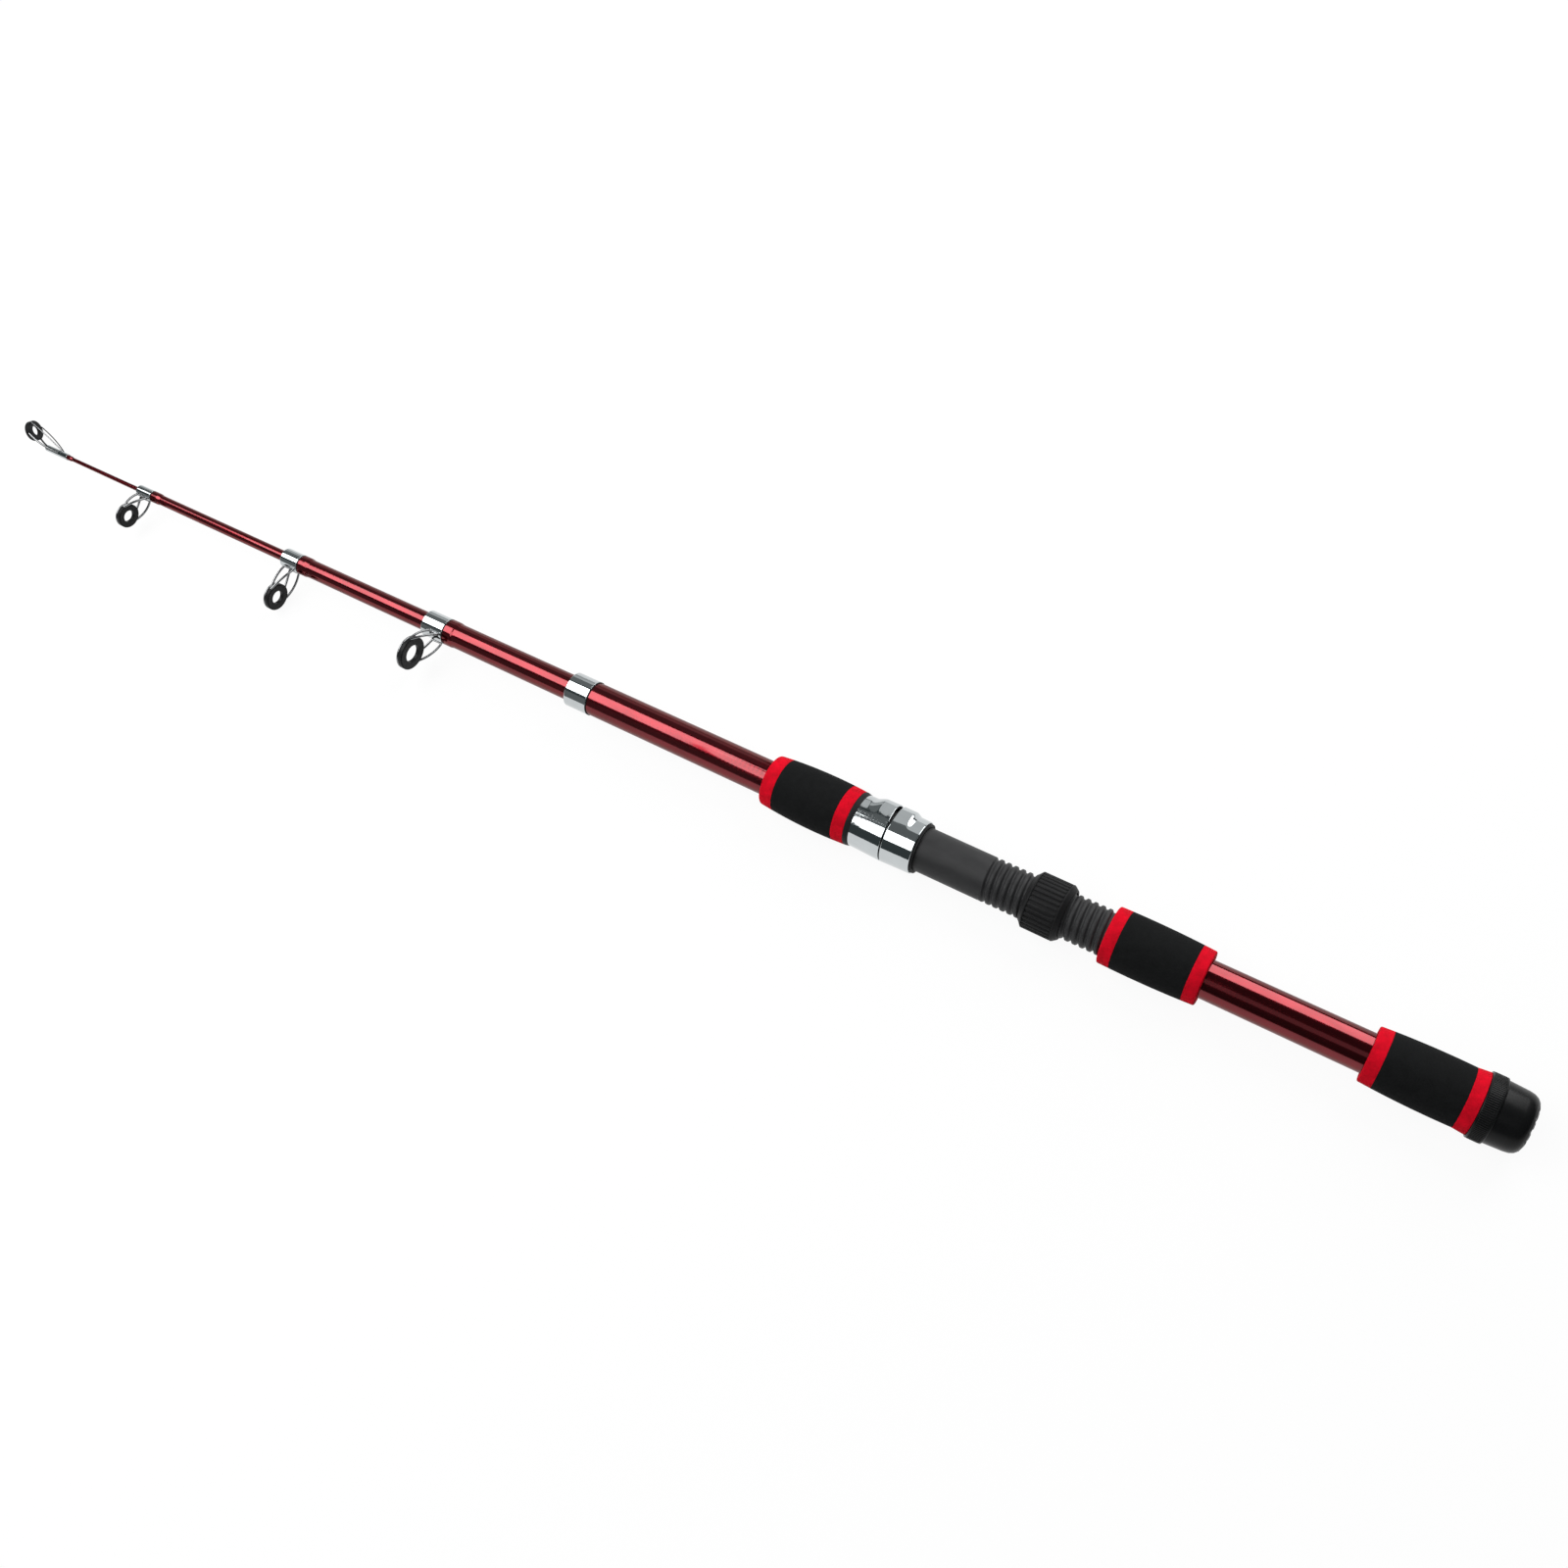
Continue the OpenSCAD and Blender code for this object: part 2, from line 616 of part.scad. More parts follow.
// Section 2 with the third guide; its front part is almost straight
x_ring_2 = front_2 - 3.3;
foot_r_2 = collar_r(section_2_r(front_2 - collar_len_2));
function section_2_r(x) = mix(mouth_r_2, slow_r_2, (front_2 - x) / slow_len_2);
module section_2_blank() {
    xc = front_2 - collar_len_2;
    color(RED)
        turned(concat(
            [[bore_base_r_2, front_2 - section_len], [base_r_2, front_2 - section_len],
             [slow_r_2, front_2 - slow_len_2]],
            mouth_points(front_2, collar_len_2, section_2_r(xc - whip_len - whip_run), section_2_r(xc),
                         mouth_r_2, foot_r_2),
            [[bore_r_2, front_2 - lip - glue]]));
}
module section_2_collar() {
    color(CHROME) collar(front_2 - collar_len_2, front_2, section_2_r(front_2 - collar_len_2), mouth_r_2,
                         bore_r_2 + 0.05);
}
module section_2_frame() {
    color(CHROME) guide_frame(x_ring_2, front_2 - 1.4, front_2 - 7.8, foot_r_2, 1.5,
                              ring_height_2, ring_od_2, guide_roll_2);
}
module section_2_ring() {
    color(BLACK) rotate([guide_roll_2, 0, 0]) translate([x_ring_2, ring_height_2, 0])
        guide_ring(ring_hole_2, ring_od_2);
}

// Tip section with the tip-top
tip_tube_r = tip_r + 0.7;
tip_tube_x0 = tip_front - 15.7;
tip_ring_x = tip_front + 12.7;
tip_ring_h = 5.5;
function tip_at(x) = mix(tip_r, tip_base_r, (tip_x1 - x) / tip_len);
module tip_blank() {
    color(RED)
        turned([[0, tip_x0], [tip_base_r, tip_x0], [tip_r, tip_x1], [0, tip_x1]]);
}
module tip_top_tube() {
    color(CHROME)
        turned([[tip_at(tip_tube_x0) + glue, tip_tube_x0], [tip_tube_r, tip_tube_x0],
                [tip_tube_r, tip_front - 0.6], [tip_tube_r - 0.6, tip_front], [0, tip_front],
                [0, tip_x1 + glue], [tip_r + glue, tip_x1 + glue]]);
}
module tip_ring() {
    color(BLACK) rotate([tip_roll, 0, 0]) translate([tip_ring_x, tip_ring_h, 0]) rotate([0, 0, -tip_lean])
        guide_ring(tip_ring_hole, tip_ring_od);
}
module tip_top_frame() {
    wire_r = 0.5;
    band_r = tip_ring_od / 2 + glue + band_t / 2 + 0.2;
    // Points on the band, by the angle from its lowest point
    low = [tip_ring_x, tip_ring_h, 0] - band_r * cos(52) * [sin(tip_lean), cos(tip_lean), 0]
          + [0, 0, band_r * sin(52)];
    high_r = band_r - 0.15;
    high = [tip_ring_x, tip_ring_h, 0] + high_r * cos(50) * [sin(tip_lean), cos(tip_lean), 0]
           + [0, 0, high_r * sin(50)] - 0.75 * [cos(tip_lean), -sin(tip_lean), 0];
    foot = [tip_front - 10, 0.2, tip_tube_r + 0.25];
    bend = [tip_front + 1.5, 0.4, tip_tube_r + 1.05];
    brace_foot = [tip_front - 11, tip_tube_r - 0.2, 0.5];
    color(CHROME)
        rotate([tip_roll, 0, 0])
            difference() {
                union() {
                    translate([tip_ring_x, tip_ring_h, 0]) rotate([0, 0, -tip_lean]) guide_band(tip_ring_od);
                    for (side = [0, 1]) mirror([0, 0, side]) {
                        wire_arc(foot, bend, low, wire_r);
                        wire_arc(brace_foot, mix(brace_foot, high, 0.5) + [0, 0.6, 0.6], high, 0.4);
                    }
                }
                translate([tip_front - 20, 0, 0]) rotate([0, 90, 0]) cylinder(h = 20.1, r = tip_tube_r + 0.02);
                translate([tip_ring_x, tip_ring_h, 0]) rotate([0, 0, -tip_lean])
                    translate([-ring_t / 2 - 0.02, 0, 0]) rotate([0, 90, 0])
                        cylinder(h = ring_t + 0.04, r = tip_ring_od / 2 + glue);
            }
}

butt_blank();
winding_check();
butt_insert();
seat_arbor_front();
seat_arbor_rear();
fore_grip_sleeve();
fore_grip_front_ring();
fore_grip_rear_ring();
fore_grip_trim_ring();
rear_grip_sleeve();
rear_grip_front_ring();
rear_grip_rear_ring();
butt_grip_sleeve();
butt_grip_front_ring();
butt_grip_rear_ring();
seat_body();
fixed_hood();
moving_hood_shell();
moving_hood_liner();
seat_nut();
butt_cap();
cap_buffer();
section_4_blank();
section_4_collar();
section_4_frame();
section_4_ring();
section_3_blank();
section_3_collar();
section_3_frame();
section_3_ring();
section_2_blank();
section_2_collar();
section_2_frame();
section_2_ring();
tip_blank();
tip_top_tube();
tip_top_frame();
tip_ring();
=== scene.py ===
"""Telescopic spinning rod: its finished look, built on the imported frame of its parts."""

import math

import bmesh
import bpy
from mathutils import Matrix, Vector


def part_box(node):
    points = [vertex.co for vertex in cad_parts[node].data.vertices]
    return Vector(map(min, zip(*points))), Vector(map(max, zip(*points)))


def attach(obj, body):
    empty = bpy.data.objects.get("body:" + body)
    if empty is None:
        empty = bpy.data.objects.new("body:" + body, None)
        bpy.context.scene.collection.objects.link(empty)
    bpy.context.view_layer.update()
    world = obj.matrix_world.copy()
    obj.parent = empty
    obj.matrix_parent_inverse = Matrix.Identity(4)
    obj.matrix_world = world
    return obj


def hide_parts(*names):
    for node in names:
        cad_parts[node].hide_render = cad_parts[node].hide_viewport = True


bl_info = {
    "name": "Telescopic Spinning Rod",
    "version": (1, 0, 0),
    "blender": (4, 5, 0),
    "location": "View3D > Sidebar > Spinning Rod",
    "description": "Dresses the packed frame of a telescopic spinning rod",
    "category": "Object",
}

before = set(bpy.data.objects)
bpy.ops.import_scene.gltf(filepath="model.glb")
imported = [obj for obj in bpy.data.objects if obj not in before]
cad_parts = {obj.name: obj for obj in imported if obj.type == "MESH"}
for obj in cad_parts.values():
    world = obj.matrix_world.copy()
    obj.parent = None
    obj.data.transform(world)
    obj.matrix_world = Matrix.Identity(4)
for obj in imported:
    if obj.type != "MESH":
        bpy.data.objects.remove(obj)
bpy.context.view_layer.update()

# Lengths inside the mesh code are in millimetres: x along the rod's axis, radii out from it
MM = 0.001
# Gap that glue fills between a piece and what carries it
GLUE = 0.05
# A rounded corner: its steps, the largest share of an edge it takes up, and the hold kept beside it
EASE_STEPS = 5
EASE_SHARE = 0.45
EASE_HOLD = 0.2
# How far the fore grip's red ring laps over its trim, and the trim over the fixed hood's end
TRIM_COVER = 1.2
TRIM_LIP = 1.3
# Width of the dark ring behind each collar
SEAM = 0.55
# The seat's rear bevel, and how far past the fixed hood's mouth its keyway ends and its shoulder starts
SEAT_BEVEL = 0.5
KEY_END = 0.3
SHOULDER = 0.5
# How deep a rib's foot sits in what carries it
RIB_FOOT = 0.12
# Wall of the seat round each line ring, and how far the wire loop's middle lies inside the ring's edge
RING_SEAT = 0.4
LOOP_SINK = 0.1
# The drawn sections that carry a guide, from the butt to the tip
SECTIONS = ("section_4", "section_3", "section_2")


# Sizes and colours that a user would change


class BlankSettings(bpy.types.PropertyGroup):
    """The red tubes."""

    lacquer: bpy.props.FloatVectorProperty(
        name="Lacquer", description="Colour of the candy lacquer over its metallic ground",
        subtype="COLOR", size=3, default=(0.17, 0.008, 0.014))
    lacquer_deep: bpy.props.FloatVectorProperty(
        name="Deep lacquer", description="Lacquer where it lies thickest",
        subtype="COLOR", size=3, default=(0.13, 0.006, 0.010))
    wrap_pitch: bpy.props.FloatProperty(
        name="Wrap pitch", description="Spacing of the faint ridges that the wrapping tape leaves",
        unit="LENGTH", default=0.0021)
    butt_mouth: bpy.props.FloatProperty(
        name="Butt mouth", description="Outer diameter of the butt tube at its mouth",
        unit="LENGTH", default=0.0151)
    mouths: bpy.props.FloatVectorProperty(
        name="Section mouths", description="Outer diameters of sections 4, 3 and 2 at their mouths",
        unit="LENGTH", size=3, default=(0.0116, 0.0087, 0.0050))
    tip: bpy.props.FloatProperty(
        name="Tip", description="Diameter of the solid tip at its thin end",
        unit="LENGTH", default=0.0019)
    butt_wall: bpy.props.FloatProperty(
        name="Butt wall", description="Wall of the butt tube", unit="LENGTH", default=0.00095)
    walls: bpy.props.FloatVectorProperty(
        name="Section walls", description="Walls of sections 4, 3 and 2",
        unit="LENGTH", size=3, default=(0.00085, 0.00085, 0.0006))
    whip: bpy.props.FloatProperty(
        name="Whipping", description="Length of the lacquered whipping behind each collar",
        unit="LENGTH", default=0.004)


class CollarSettings(bpy.types.PropertyGroup):
    """The chrome collars at the tube mouths."""

    chrome: bpy.props.FloatVectorProperty(
        name="Chrome", description="Colour of the plated metal",
        subtype="COLOR", size=3, default=(0.56, 0.59, 0.60))
    wall: bpy.props.FloatProperty(
        name="Wall", description="Thickness of the collar's tube", unit="LENGTH", default=0.0003)
    edge: bpy.props.FloatProperty(
        name="Edge", description="Rounding of the collar's front edge", unit="LENGTH", default=0.0004)


class GripSettings(bpy.types.PropertyGroup):
    """The foam grips and their red end rings."""

    foam: bpy.props.FloatVectorProperty(
        name="Black foam", description="Colour of the foam sleeves",
        subtype="COLOR", size=3, default=(0.0080, 0.0084, 0.0086))
    red: bpy.props.FloatVectorProperty(
        name="Red foam", description="Colour of the foam end rings",
        subtype="COLOR", size=3, default=(0.56, 0.0026, 0.014))
    crowns: bpy.props.FloatVectorProperty(
        name="Crowns", description="Fattest point along the rod of the butt, rear and fore grips",
        unit="LENGTH", size=3, default=(0.0343, 0.150, 0.2922))
    arcs: bpy.props.FloatVectorProperty(
        name="Arcs", description="Radius of the long curve of the butt, rear and fore grips",
        unit="LENGTH", size=3, default=(0.340, 0.430, 0.222))


class SeatSettings(bpy.types.PropertyGroup):
    """The reel seat's threaded tube."""

    plastic: bpy.props.FloatVectorProperty(
        name="Seat plastic", description="Colour of the moulded seat",
        subtype="COLOR", size=3, default=(0.028, 0.028, 0.029))
    diameter: bpy.props.FloatProperty(
        name="Diameter", description="Outer diameter of the seat", unit="LENGTH", default=0.019)
    bore: bpy.props.FloatProperty(
        name="Bore", description="Diameter of the hole through the seat", unit="LENGTH", default=0.0167)
    thread_length: bpy.props.FloatProperty(
        name="Thread length", description="Length of the threaded part", unit="LENGTH", default=0.0529)
    pitch: bpy.props.FloatProperty(
        name="Pitch", description="Distance from crest to crest", unit="LENGTH", default=0.00314)
    depth: bpy.props.FloatProperty(
        name="Depth", description="Height of the crests over the roots", unit="LENGTH", default=0.00095)
    key_angle: bpy.props.FloatProperty(
        name="Keyway angle", description="Where the keyway lies round the seat",
        subtype="ANGLE", default=math.radians(249))
    key_width: bpy.props.FloatProperty(
        name="Keyway width", description="Width of the keyway", unit="LENGTH", default=0.0036)
    key_depth: bpy.props.FloatProperty(
        name="Keyway depth", description="Depth of the keyway", unit="LENGTH", default=0.0006)


class HoodSettings(bpy.types.PropertyGroup):
    """The two stamped hoods that hold the reel's foot."""

    mouth: bpy.props.FloatProperty(
        name="Mouth radius", description="Radius of both hoods where they meet",
        unit="LENGTH", default=0.0119)
    rear: bpy.props.FloatProperty(
        name="Rear radius", description="Radius of the moving hood's rear end",
        unit="LENGTH", default=0.0115)
    nose: bpy.props.FloatProperty(
        name="Nose radius", description="Radius of the fixed hood's front end",
        unit="LENGTH", default=0.0113)
    wall: bpy.props.FloatProperty(
        name="Sheet", description="Thickness of the stamped sheet", unit="LENGTH", default=0.0006)
    pocket: bpy.props.FloatProperty(
        name="Pocket radius", description="Radius of the pocket's round back",
        unit="LENGTH", default=0.0083)
    offset: bpy.props.FloatProperty(
        name="Pocket offset", description="How far the pocket's centre is from the axis",
        unit="LENGTH", default=0.0048)
    angle: bpy.props.FloatProperty(
        name="Pocket angle", description="Where the pocket lies round the rod",
        subtype="ANGLE", default=math.radians(139))
    spread: bpy.props.FloatProperty(
        name="Pocket spread", description="Half the angle that the pocket takes up round the rod",
        subtype="ANGLE", default=math.radians(48))
    roof: bpy.props.FloatVectorProperty(
        name="Pocket roof", description="Length of the pocket's level roof, fixed and moving hood",
        unit="LENGTH", size=2, default=(0.0064, 0.0063))
    slope: bpy.props.FloatVectorProperty(
        name="Pocket slope",
        description="Length over which the pocket falls to the sleeve, fixed and moving hood",
        unit="LENGTH", size=2, default=(0.0052, 0.0024))
    slot: bpy.props.FloatProperty(
        name="Slot", description="How far each mouth is cut back at the pocket",
        unit="LENGTH", default=0.0006)


class NutSettings(bpy.types.PropertyGroup):
    """The ribbed nut on the seat's thread."""

    plastic: bpy.props.FloatVectorProperty(
        name="Nut plastic", description="Colour of the moulded nut and of the fore grip's trim",
        subtype="COLOR", size=3, default=(0.013, 0.013, 0.0135))
    ribs: bpy.props.IntProperty(name="Ribs", description="Ribs round the nut", default=34)
    rib_width: bpy.props.FloatProperty(
        name="Rib width", description="Width of a rib", unit="LENGTH", default=0.00135)
    rib_height: bpy.props.FloatProperty(
        name="Rib height", description="Height of a rib over the barrel",
        unit="LENGTH", default=0.00055)
    chamfer: bpy.props.FloatProperty(
        name="Chamfer", description="Length of the sloping ends", unit="LENGTH", default=0.0020)


class CapSettings(bpy.types.PropertyGroup):
    """The screw cap at the butt."""

    plastic: bpy.props.FloatVectorProperty(
        name="Cap plastic", description="Colour of the moulded cap",
        subtype="COLOR", size=3, default=(0.006, 0.0062, 0.0064))
    flange: bpy.props.FloatProperty(
        name="Knurled band", description="Length of the knurled band", unit="LENGTH", default=0.0058)
    corner: bpy.props.FloatProperty(
        name="Corner", description="Rounding of the end", unit="LENGTH", default=0.0052)
    heel: bpy.props.FloatProperty(
        name="Heel", description="Place of the cap's end along the rod", unit="LENGTH", default=0.0007)
    notches: bpy.props.IntProperty(name="Notches", description="Notches round the end", default=12)
    notch_radius: bpy.props.FloatProperty(
        name="Notch radius", description="Radius of a notch", unit="LENGTH", default=0.00105)
    teeth: bpy.props.IntProperty(name="Knurl teeth", description="Fine teeth round the band", default=96)
    plug: bpy.props.FloatProperty(
        name="Plug radius", description="Radius of the plug in the butt",
        unit="LENGTH", default=0.00545)


class GuideSettings(bpy.types.PropertyGroup):
    """The line guides of sections 4, 3 and 2."""

    ceramic: bpy.props.FloatVectorProperty(
        name="Ring ceramic", description="Colour of the rings",
        subtype="COLOR", size=3, default=(0.012, 0.012, 0.0125))
    ring: bpy.props.FloatVectorProperty(
        name="Ring diameters", description="Outer diameters of the three rings",
        unit="LENGTH", size=3, default=(0.0151, 0.0124, 0.0112))
    hole: bpy.props.FloatVectorProperty(
        name="Hole diameters", description="Hole diameters of the three rings",
        unit="LENGTH", size=3, default=(0.0084, 0.0065, 0.0060))
    height: bpy.props.FloatVectorProperty(
        name="Heights", description="Distance of the three ring centres from the axis",
        unit="LENGTH", size=3, default=(0.0183, 0.0193, 0.0146))
    roll: bpy.props.FloatVectorProperty(
        name="Rolls", description="Turn of the three guides round the rod, from +Y towards +Z",
        size=3, default=(math.radians(8), math.radians(-16), math.radians(-6)))
    thickness: bpy.props.FloatProperty(
        name="Ring thickness", description="Thickness of a ring along the line",
        unit="LENGTH", default=0.0020)
    wire: bpy.props.FloatProperty(
        name="Wire", description="Diameter of the frame's wire", unit="LENGTH", default=0.0011)
    steel: bpy.props.FloatVectorProperty(
        name="Wire steel", description="Colour of the frame's wire",
        subtype="COLOR", size=3, default=(0.26, 0.265, 0.27))


class TipTopSettings(bpy.types.PropertyGroup):
    """The last guide at the tip."""

    ring: bpy.props.FloatProperty(
        name="Ring diameter", description="Outer diameter of the ring", unit="LENGTH", default=0.0093)
    hole: bpy.props.FloatProperty(
        name="Hole diameter", description="Hole of the ring", unit="LENGTH", default=0.0050)
    ahead: bpy.props.FloatProperty(
        name="Ahead", description="Distance of the ring's centre ahead of the tube's end",
        unit="LENGTH", default=0.0127)
    height: bpy.props.FloatProperty(
        name="Height", description="Distance of the ring's centre from the axis",
        unit="LENGTH", default=0.0055)
    lean: bpy.props.FloatProperty(
        name="Lean", description="Forward lean of the ring", subtype="ANGLE", default=math.radians(32))
    roll: bpy.props.FloatProperty(
        name="Roll", description="Turn of the tip-top round the rod",
        subtype="ANGLE", default=math.radians(159))
    wire: bpy.props.FloatProperty(
        name="Side wire", description="Diameter of the side wires", unit="LENGTH", default=0.0010)
    brace: bpy.props.FloatProperty(
        name="Brace", description="Diameter of the thin braces", unit="LENGTH", default=0.0006)


class StageSettings(bpy.types.PropertyGroup):
    """Camera, floor and lamps."""

    eye: bpy.props.FloatVectorProperty(
        name="Camera", description="Where the camera stands", subtype="TRANSLATION", unit="LENGTH",
        size=3, default=(0.086, 0.2232, 0.5821))
    aim: bpy.props.FloatVectorProperty(
        name="Aim", description="Where the camera looks", subtype="TRANSLATION", unit="LENGTH",
        size=3, default=(0.3115, -0.00053, 0.00014))
    up: bpy.props.FloatVectorProperty(
        name="Up", description="Direction that is upright in the picture", subtype="DIRECTION",
        size=3, default=(0.39187, -0.79802, 0.4575))
    lens: bpy.props.FloatProperty(
        name="Lens", description="Focal length on a 36 mm frame, in millimetres", default=36.0)
    floor: bpy.props.FloatProperty(
        name="Floor", description="Height of the floor the rod lies on", unit="LENGTH", default=-0.0131)
    key_power: bpy.props.FloatProperty(
        name="Key light", description="Power of the long soft box over the tubes",
        unit="POWER", default=15.9)
    near_power: bpy.props.FloatProperty(
        name="Near light", description="Power of the key's short box next to the fore grip",
        unit="POWER", default=1.58)
    far_power: bpy.props.FloatProperty(
        name="Far light", description="Power of the key's narrow box over the thin sections",
        unit="POWER", default=1.45)
    hood_power: bpy.props.FloatProperty(
        name="Hood light", description="Power of the small soft box over the reel seat",
        unit="POWER", default=4.4)
    window_power: bpy.props.FloatProperty(
        name="Window light", description="Power of the soft box behind the butt",
        unit="POWER", default=12.6)
    fill_power: bpy.props.FloatProperty(
        name="Fill light", description="Power of the dim panel behind the reel seat",
        unit="POWER", default=1.12)
    rim_power: bpy.props.FloatProperty(
        name="Rim light", description="Power of the low panel behind the tubes",
        unit="POWER", default=1.23)
    brow_power: bpy.props.FloatProperty(
        name="Brow light", description="Power of the faint panel over the reel seat",
        unit="POWER", default=0.085)
    front_power: bpy.props.FloatProperty(
        name="Front light", description="Power of the faint panel before the tubes",
        unit="POWER", default=0.42)
    side_power: bpy.props.FloatProperty(
        name="Side light", description="Power of the faint panel before the handle",
        unit="POWER", default=0.34)
    back_power: bpy.props.FloatProperty(
        name="Back light", description="Power of the dim panel behind the tubes",
        unit="POWER", default=0.65)
    floor_white: bpy.props.FloatProperty(
        name="Floor white", description="Share of plain white in what the camera sees of the floor",
        subtype="FACTOR", default=0.93)


# Outlines and meshes


def node_span(node):
    """First and last place of a node along the rod, in millimetres."""
    low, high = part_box(node)
    return low.x / MM, high.x / MM


def node_radius(node):
    """Largest radius of a turned node, in millimetres."""
    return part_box(node)[1].z / MM


def rounded(corners, closed=True):
    """An outline of (x, radius) points from (x, radius, rounding) corners."""
    outline = []
    count = len(corners)
    for i, (x, r, ease) in enumerate(corners):
        here = Vector((x, r))
        if ease <= 0 or (not closed and i in (0, count - 1)):
            outline.append((x, r))
            continue
        back = Vector(corners[i - 1][:2]) - here
        ahead = Vector(corners[(i + 1) % count][:2]) - here
        reach = min(ease, EASE_SHARE * back.length, EASE_SHARE * ahead.length)
        start = here + back.normalized() * reach
        end = here + ahead.normalized() * reach
        hold = EASE_HOLD * reach
        roomy = 2.5 * reach
        if back.length > roomy:
            outline.append(tuple(start + back.normalized() * hold))
        for step in range(EASE_STEPS + 1):
            t = step / EASE_STEPS
            point = start.lerp(here, t).lerp(here.lerp(end, t), t)
            outline.append((point.x, point.y))
        if ahead.length > roomy:
            outline.append(tuple(end + ahead.normalized() * hold))
    return outline


def ring_at(x, radius, count):
    """Points of one ring round the axis, or a single point on it."""
    if radius < 1e-6:
        return [(x, 0.0, 0.0)]
    step = 2 * math.pi / count
    return [(x, radius * math.cos(step * k), radius * math.sin(step * k)) for k in range(count)]


def stitched(loops, wrap):
    """Vertices and outward faces of rings that follow one another along the rod."""
    points = []
    rings = []
    for loop in loops:
        rings.append(range(len(points), len(points) + len(loop)))
        points.extend(loop)
    faces = []
    pairs = list(zip(rings, rings[1:]))
    if wrap:
        pairs.append((rings[-1], rings[0]))
    for near, far in pairs:
        count = max(len(near), len(far))
        for k in range(count):
            j = (k + 1) % count
            if len(near) == 1:
                faces.append((near[0], far[j], far[k]))
            elif len(far) == 1:
                faces.append((near[k], near[j], far[0]))
            else:
                faces.append((near[k], near[j], far[j], far[k]))
    return points, faces


def piece_from(name, points, faces, finish, crease=40):
    """An object with its place in its mesh, from points in millimetres."""
    mesh = bpy.data.meshes.new(name)
    mesh.from_pydata([tuple(c * MM for c in p) for p in points], [], faces)
    mesh.materials.append(finish)
    mesh.shade_smooth()
    mesh.set_sharp_from_angle(angle=math.radians(crease))
    piece = bpy.data.objects.new(name, mesh)
    bpy.context.scene.collection.objects.link(piece)
    return piece


def turned_piece(name, corners, finish, count=96, closed=True):
    """A piece turned from an outline of rounded corners."""
    outline = rounded(corners, closed)
    loops = [ring_at(x, r, count) for x, r in outline]
    points, faces = stitched(loops, closed)
    return piece_from(name, points, faces, finish)


def merge_pieces(name, parts):
    """One object from several, each part keeping its own finish."""
    finishes = []
    joined = bmesh.new()
    for part in parts:
        first = len(joined.faces)
        joined.from_mesh(part.data)
        joined.faces.ensure_lookup_table()
        finish = part.data.materials[0]
        if finish not in finishes:
            finishes.append(finish)
        for face in joined.faces[first:]:
            face.material_index = finishes.index(finish)
    mesh = bpy.data.meshes.new(name)
    joined.to_mesh(mesh)
    joined.free()
    for finish in finishes:
        mesh.materials.append(finish)
    for part in parts:
        old = part.data
        bpy.data.objects.remove(part)
        bpy.data.meshes.remove(old)
    piece = bpy.data.objects.new(name, mesh)
    bpy.context.scene.collection.objects.link(piece)
    return piece


def dress(piece, body, slot, *nodes):
    """Put a finished piece on its body in place of its nodes."""
    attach(piece, body)
    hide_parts(*nodes)


# Blender nodes


def feed(tree, node, inputs):
    """Link each of a node's inputs to a socket, or set it to a value."""
    for key, value in inputs.items():
        if isinstance(value, bpy.types.NodeSocket):
            tree.links.new(value, node.inputs[key])
        else:
            node.inputs[key].default_value = value


def node_of(tree, kind, inputs=None, **settings):
    """A new node of that kind, with its settings and inputs."""
    node = tree.nodes.new(kind)
    for name, value in settings.items():
        setattr(node, name, value)
    feed(tree, node, inputs or {})
    return node


def math_node(tree, operation, first, second):
    """A math node; each side is a socket or a number."""
    return node_of(tree, "ShaderNodeMath", {0: first, 1: second}, operation=operation).outputs["Value"]


# Finishes


def new_finish(name):
    """A material with its tree, its shader and the object coordinates."""
    finish = bpy.data.materials.new(name)
    finish.use_nodes = True
    tree = finish.node_tree
    tree.nodes.clear()
    shader = node_of(tree, "ShaderNodeBsdfPrincipled")
    node_of(tree, "ShaderNodeOutputMaterial", {"Surface": shader.outputs["BSDF"]})
    place = node_of(tree, "ShaderNodeTexCoord")
    return finish, tree, shader, place.outputs["Object"]


def stretched(tree, vector, scale):
    """The coordinates stretched by a scale along each axis."""
    return node_of(tree, "ShaderNodeMapping", {"Vector": vector, "Scale": scale}).outputs["Vector"]


def noise_of(tree, vector, scale, detail, roughness=0.5):
    """A noise pattern of so many cells to the metre."""
    inputs = {"Vector": vector, "Scale": scale, "Detail": detail, "Roughness": roughness}
    return node_of(tree, "ShaderNodeTexNoise", inputs).outputs[0]


def cells_of(tree, vector, scale):
    """Distance to the nearest of many cell centres."""
    return node_of(tree, "ShaderNodeTexVoronoi", {"Vector": vector, "Scale": scale}).outputs["Distance"]


def ramp_of(tree, value, low, high, colour_low, colour_high):
    """Two colours between two values of a pattern."""
    ramp = node_of(tree, "ShaderNodeValToRGB", {"Fac": value})
    first, last = ramp.color_ramp.elements
    first.position = low
    first.color = (*colour_low, 1.0)
    last.position = high
    last.color = (*colour_high, 1.0)
    return ramp.outputs["Color"]


def rough_of(tree, pattern, least, most, low=0.3, high=0.7):
    """Roughness between two values, as a pattern goes from low to high."""
    inputs = {"Value": pattern, "From Min": low, "From Max": high, "To Min": least, "To Max": most}
    return node_of(tree, "ShaderNodeMapRange", inputs).outputs["Result"]


def bump_of(tree, height, strength, distance, below=None):
    """A bump from a height pattern, over another bump if there is one."""
    inputs = {"Height": height, "Strength": strength, "Distance": distance}
    if below is not None:
        inputs["Normal"] = below
    return node_of(tree, "ShaderNodeBump", inputs).outputs["Normal"]


def shade(colour, share):
    """A colour made darker or lighter by a share."""
    return [c * share for c in colour]


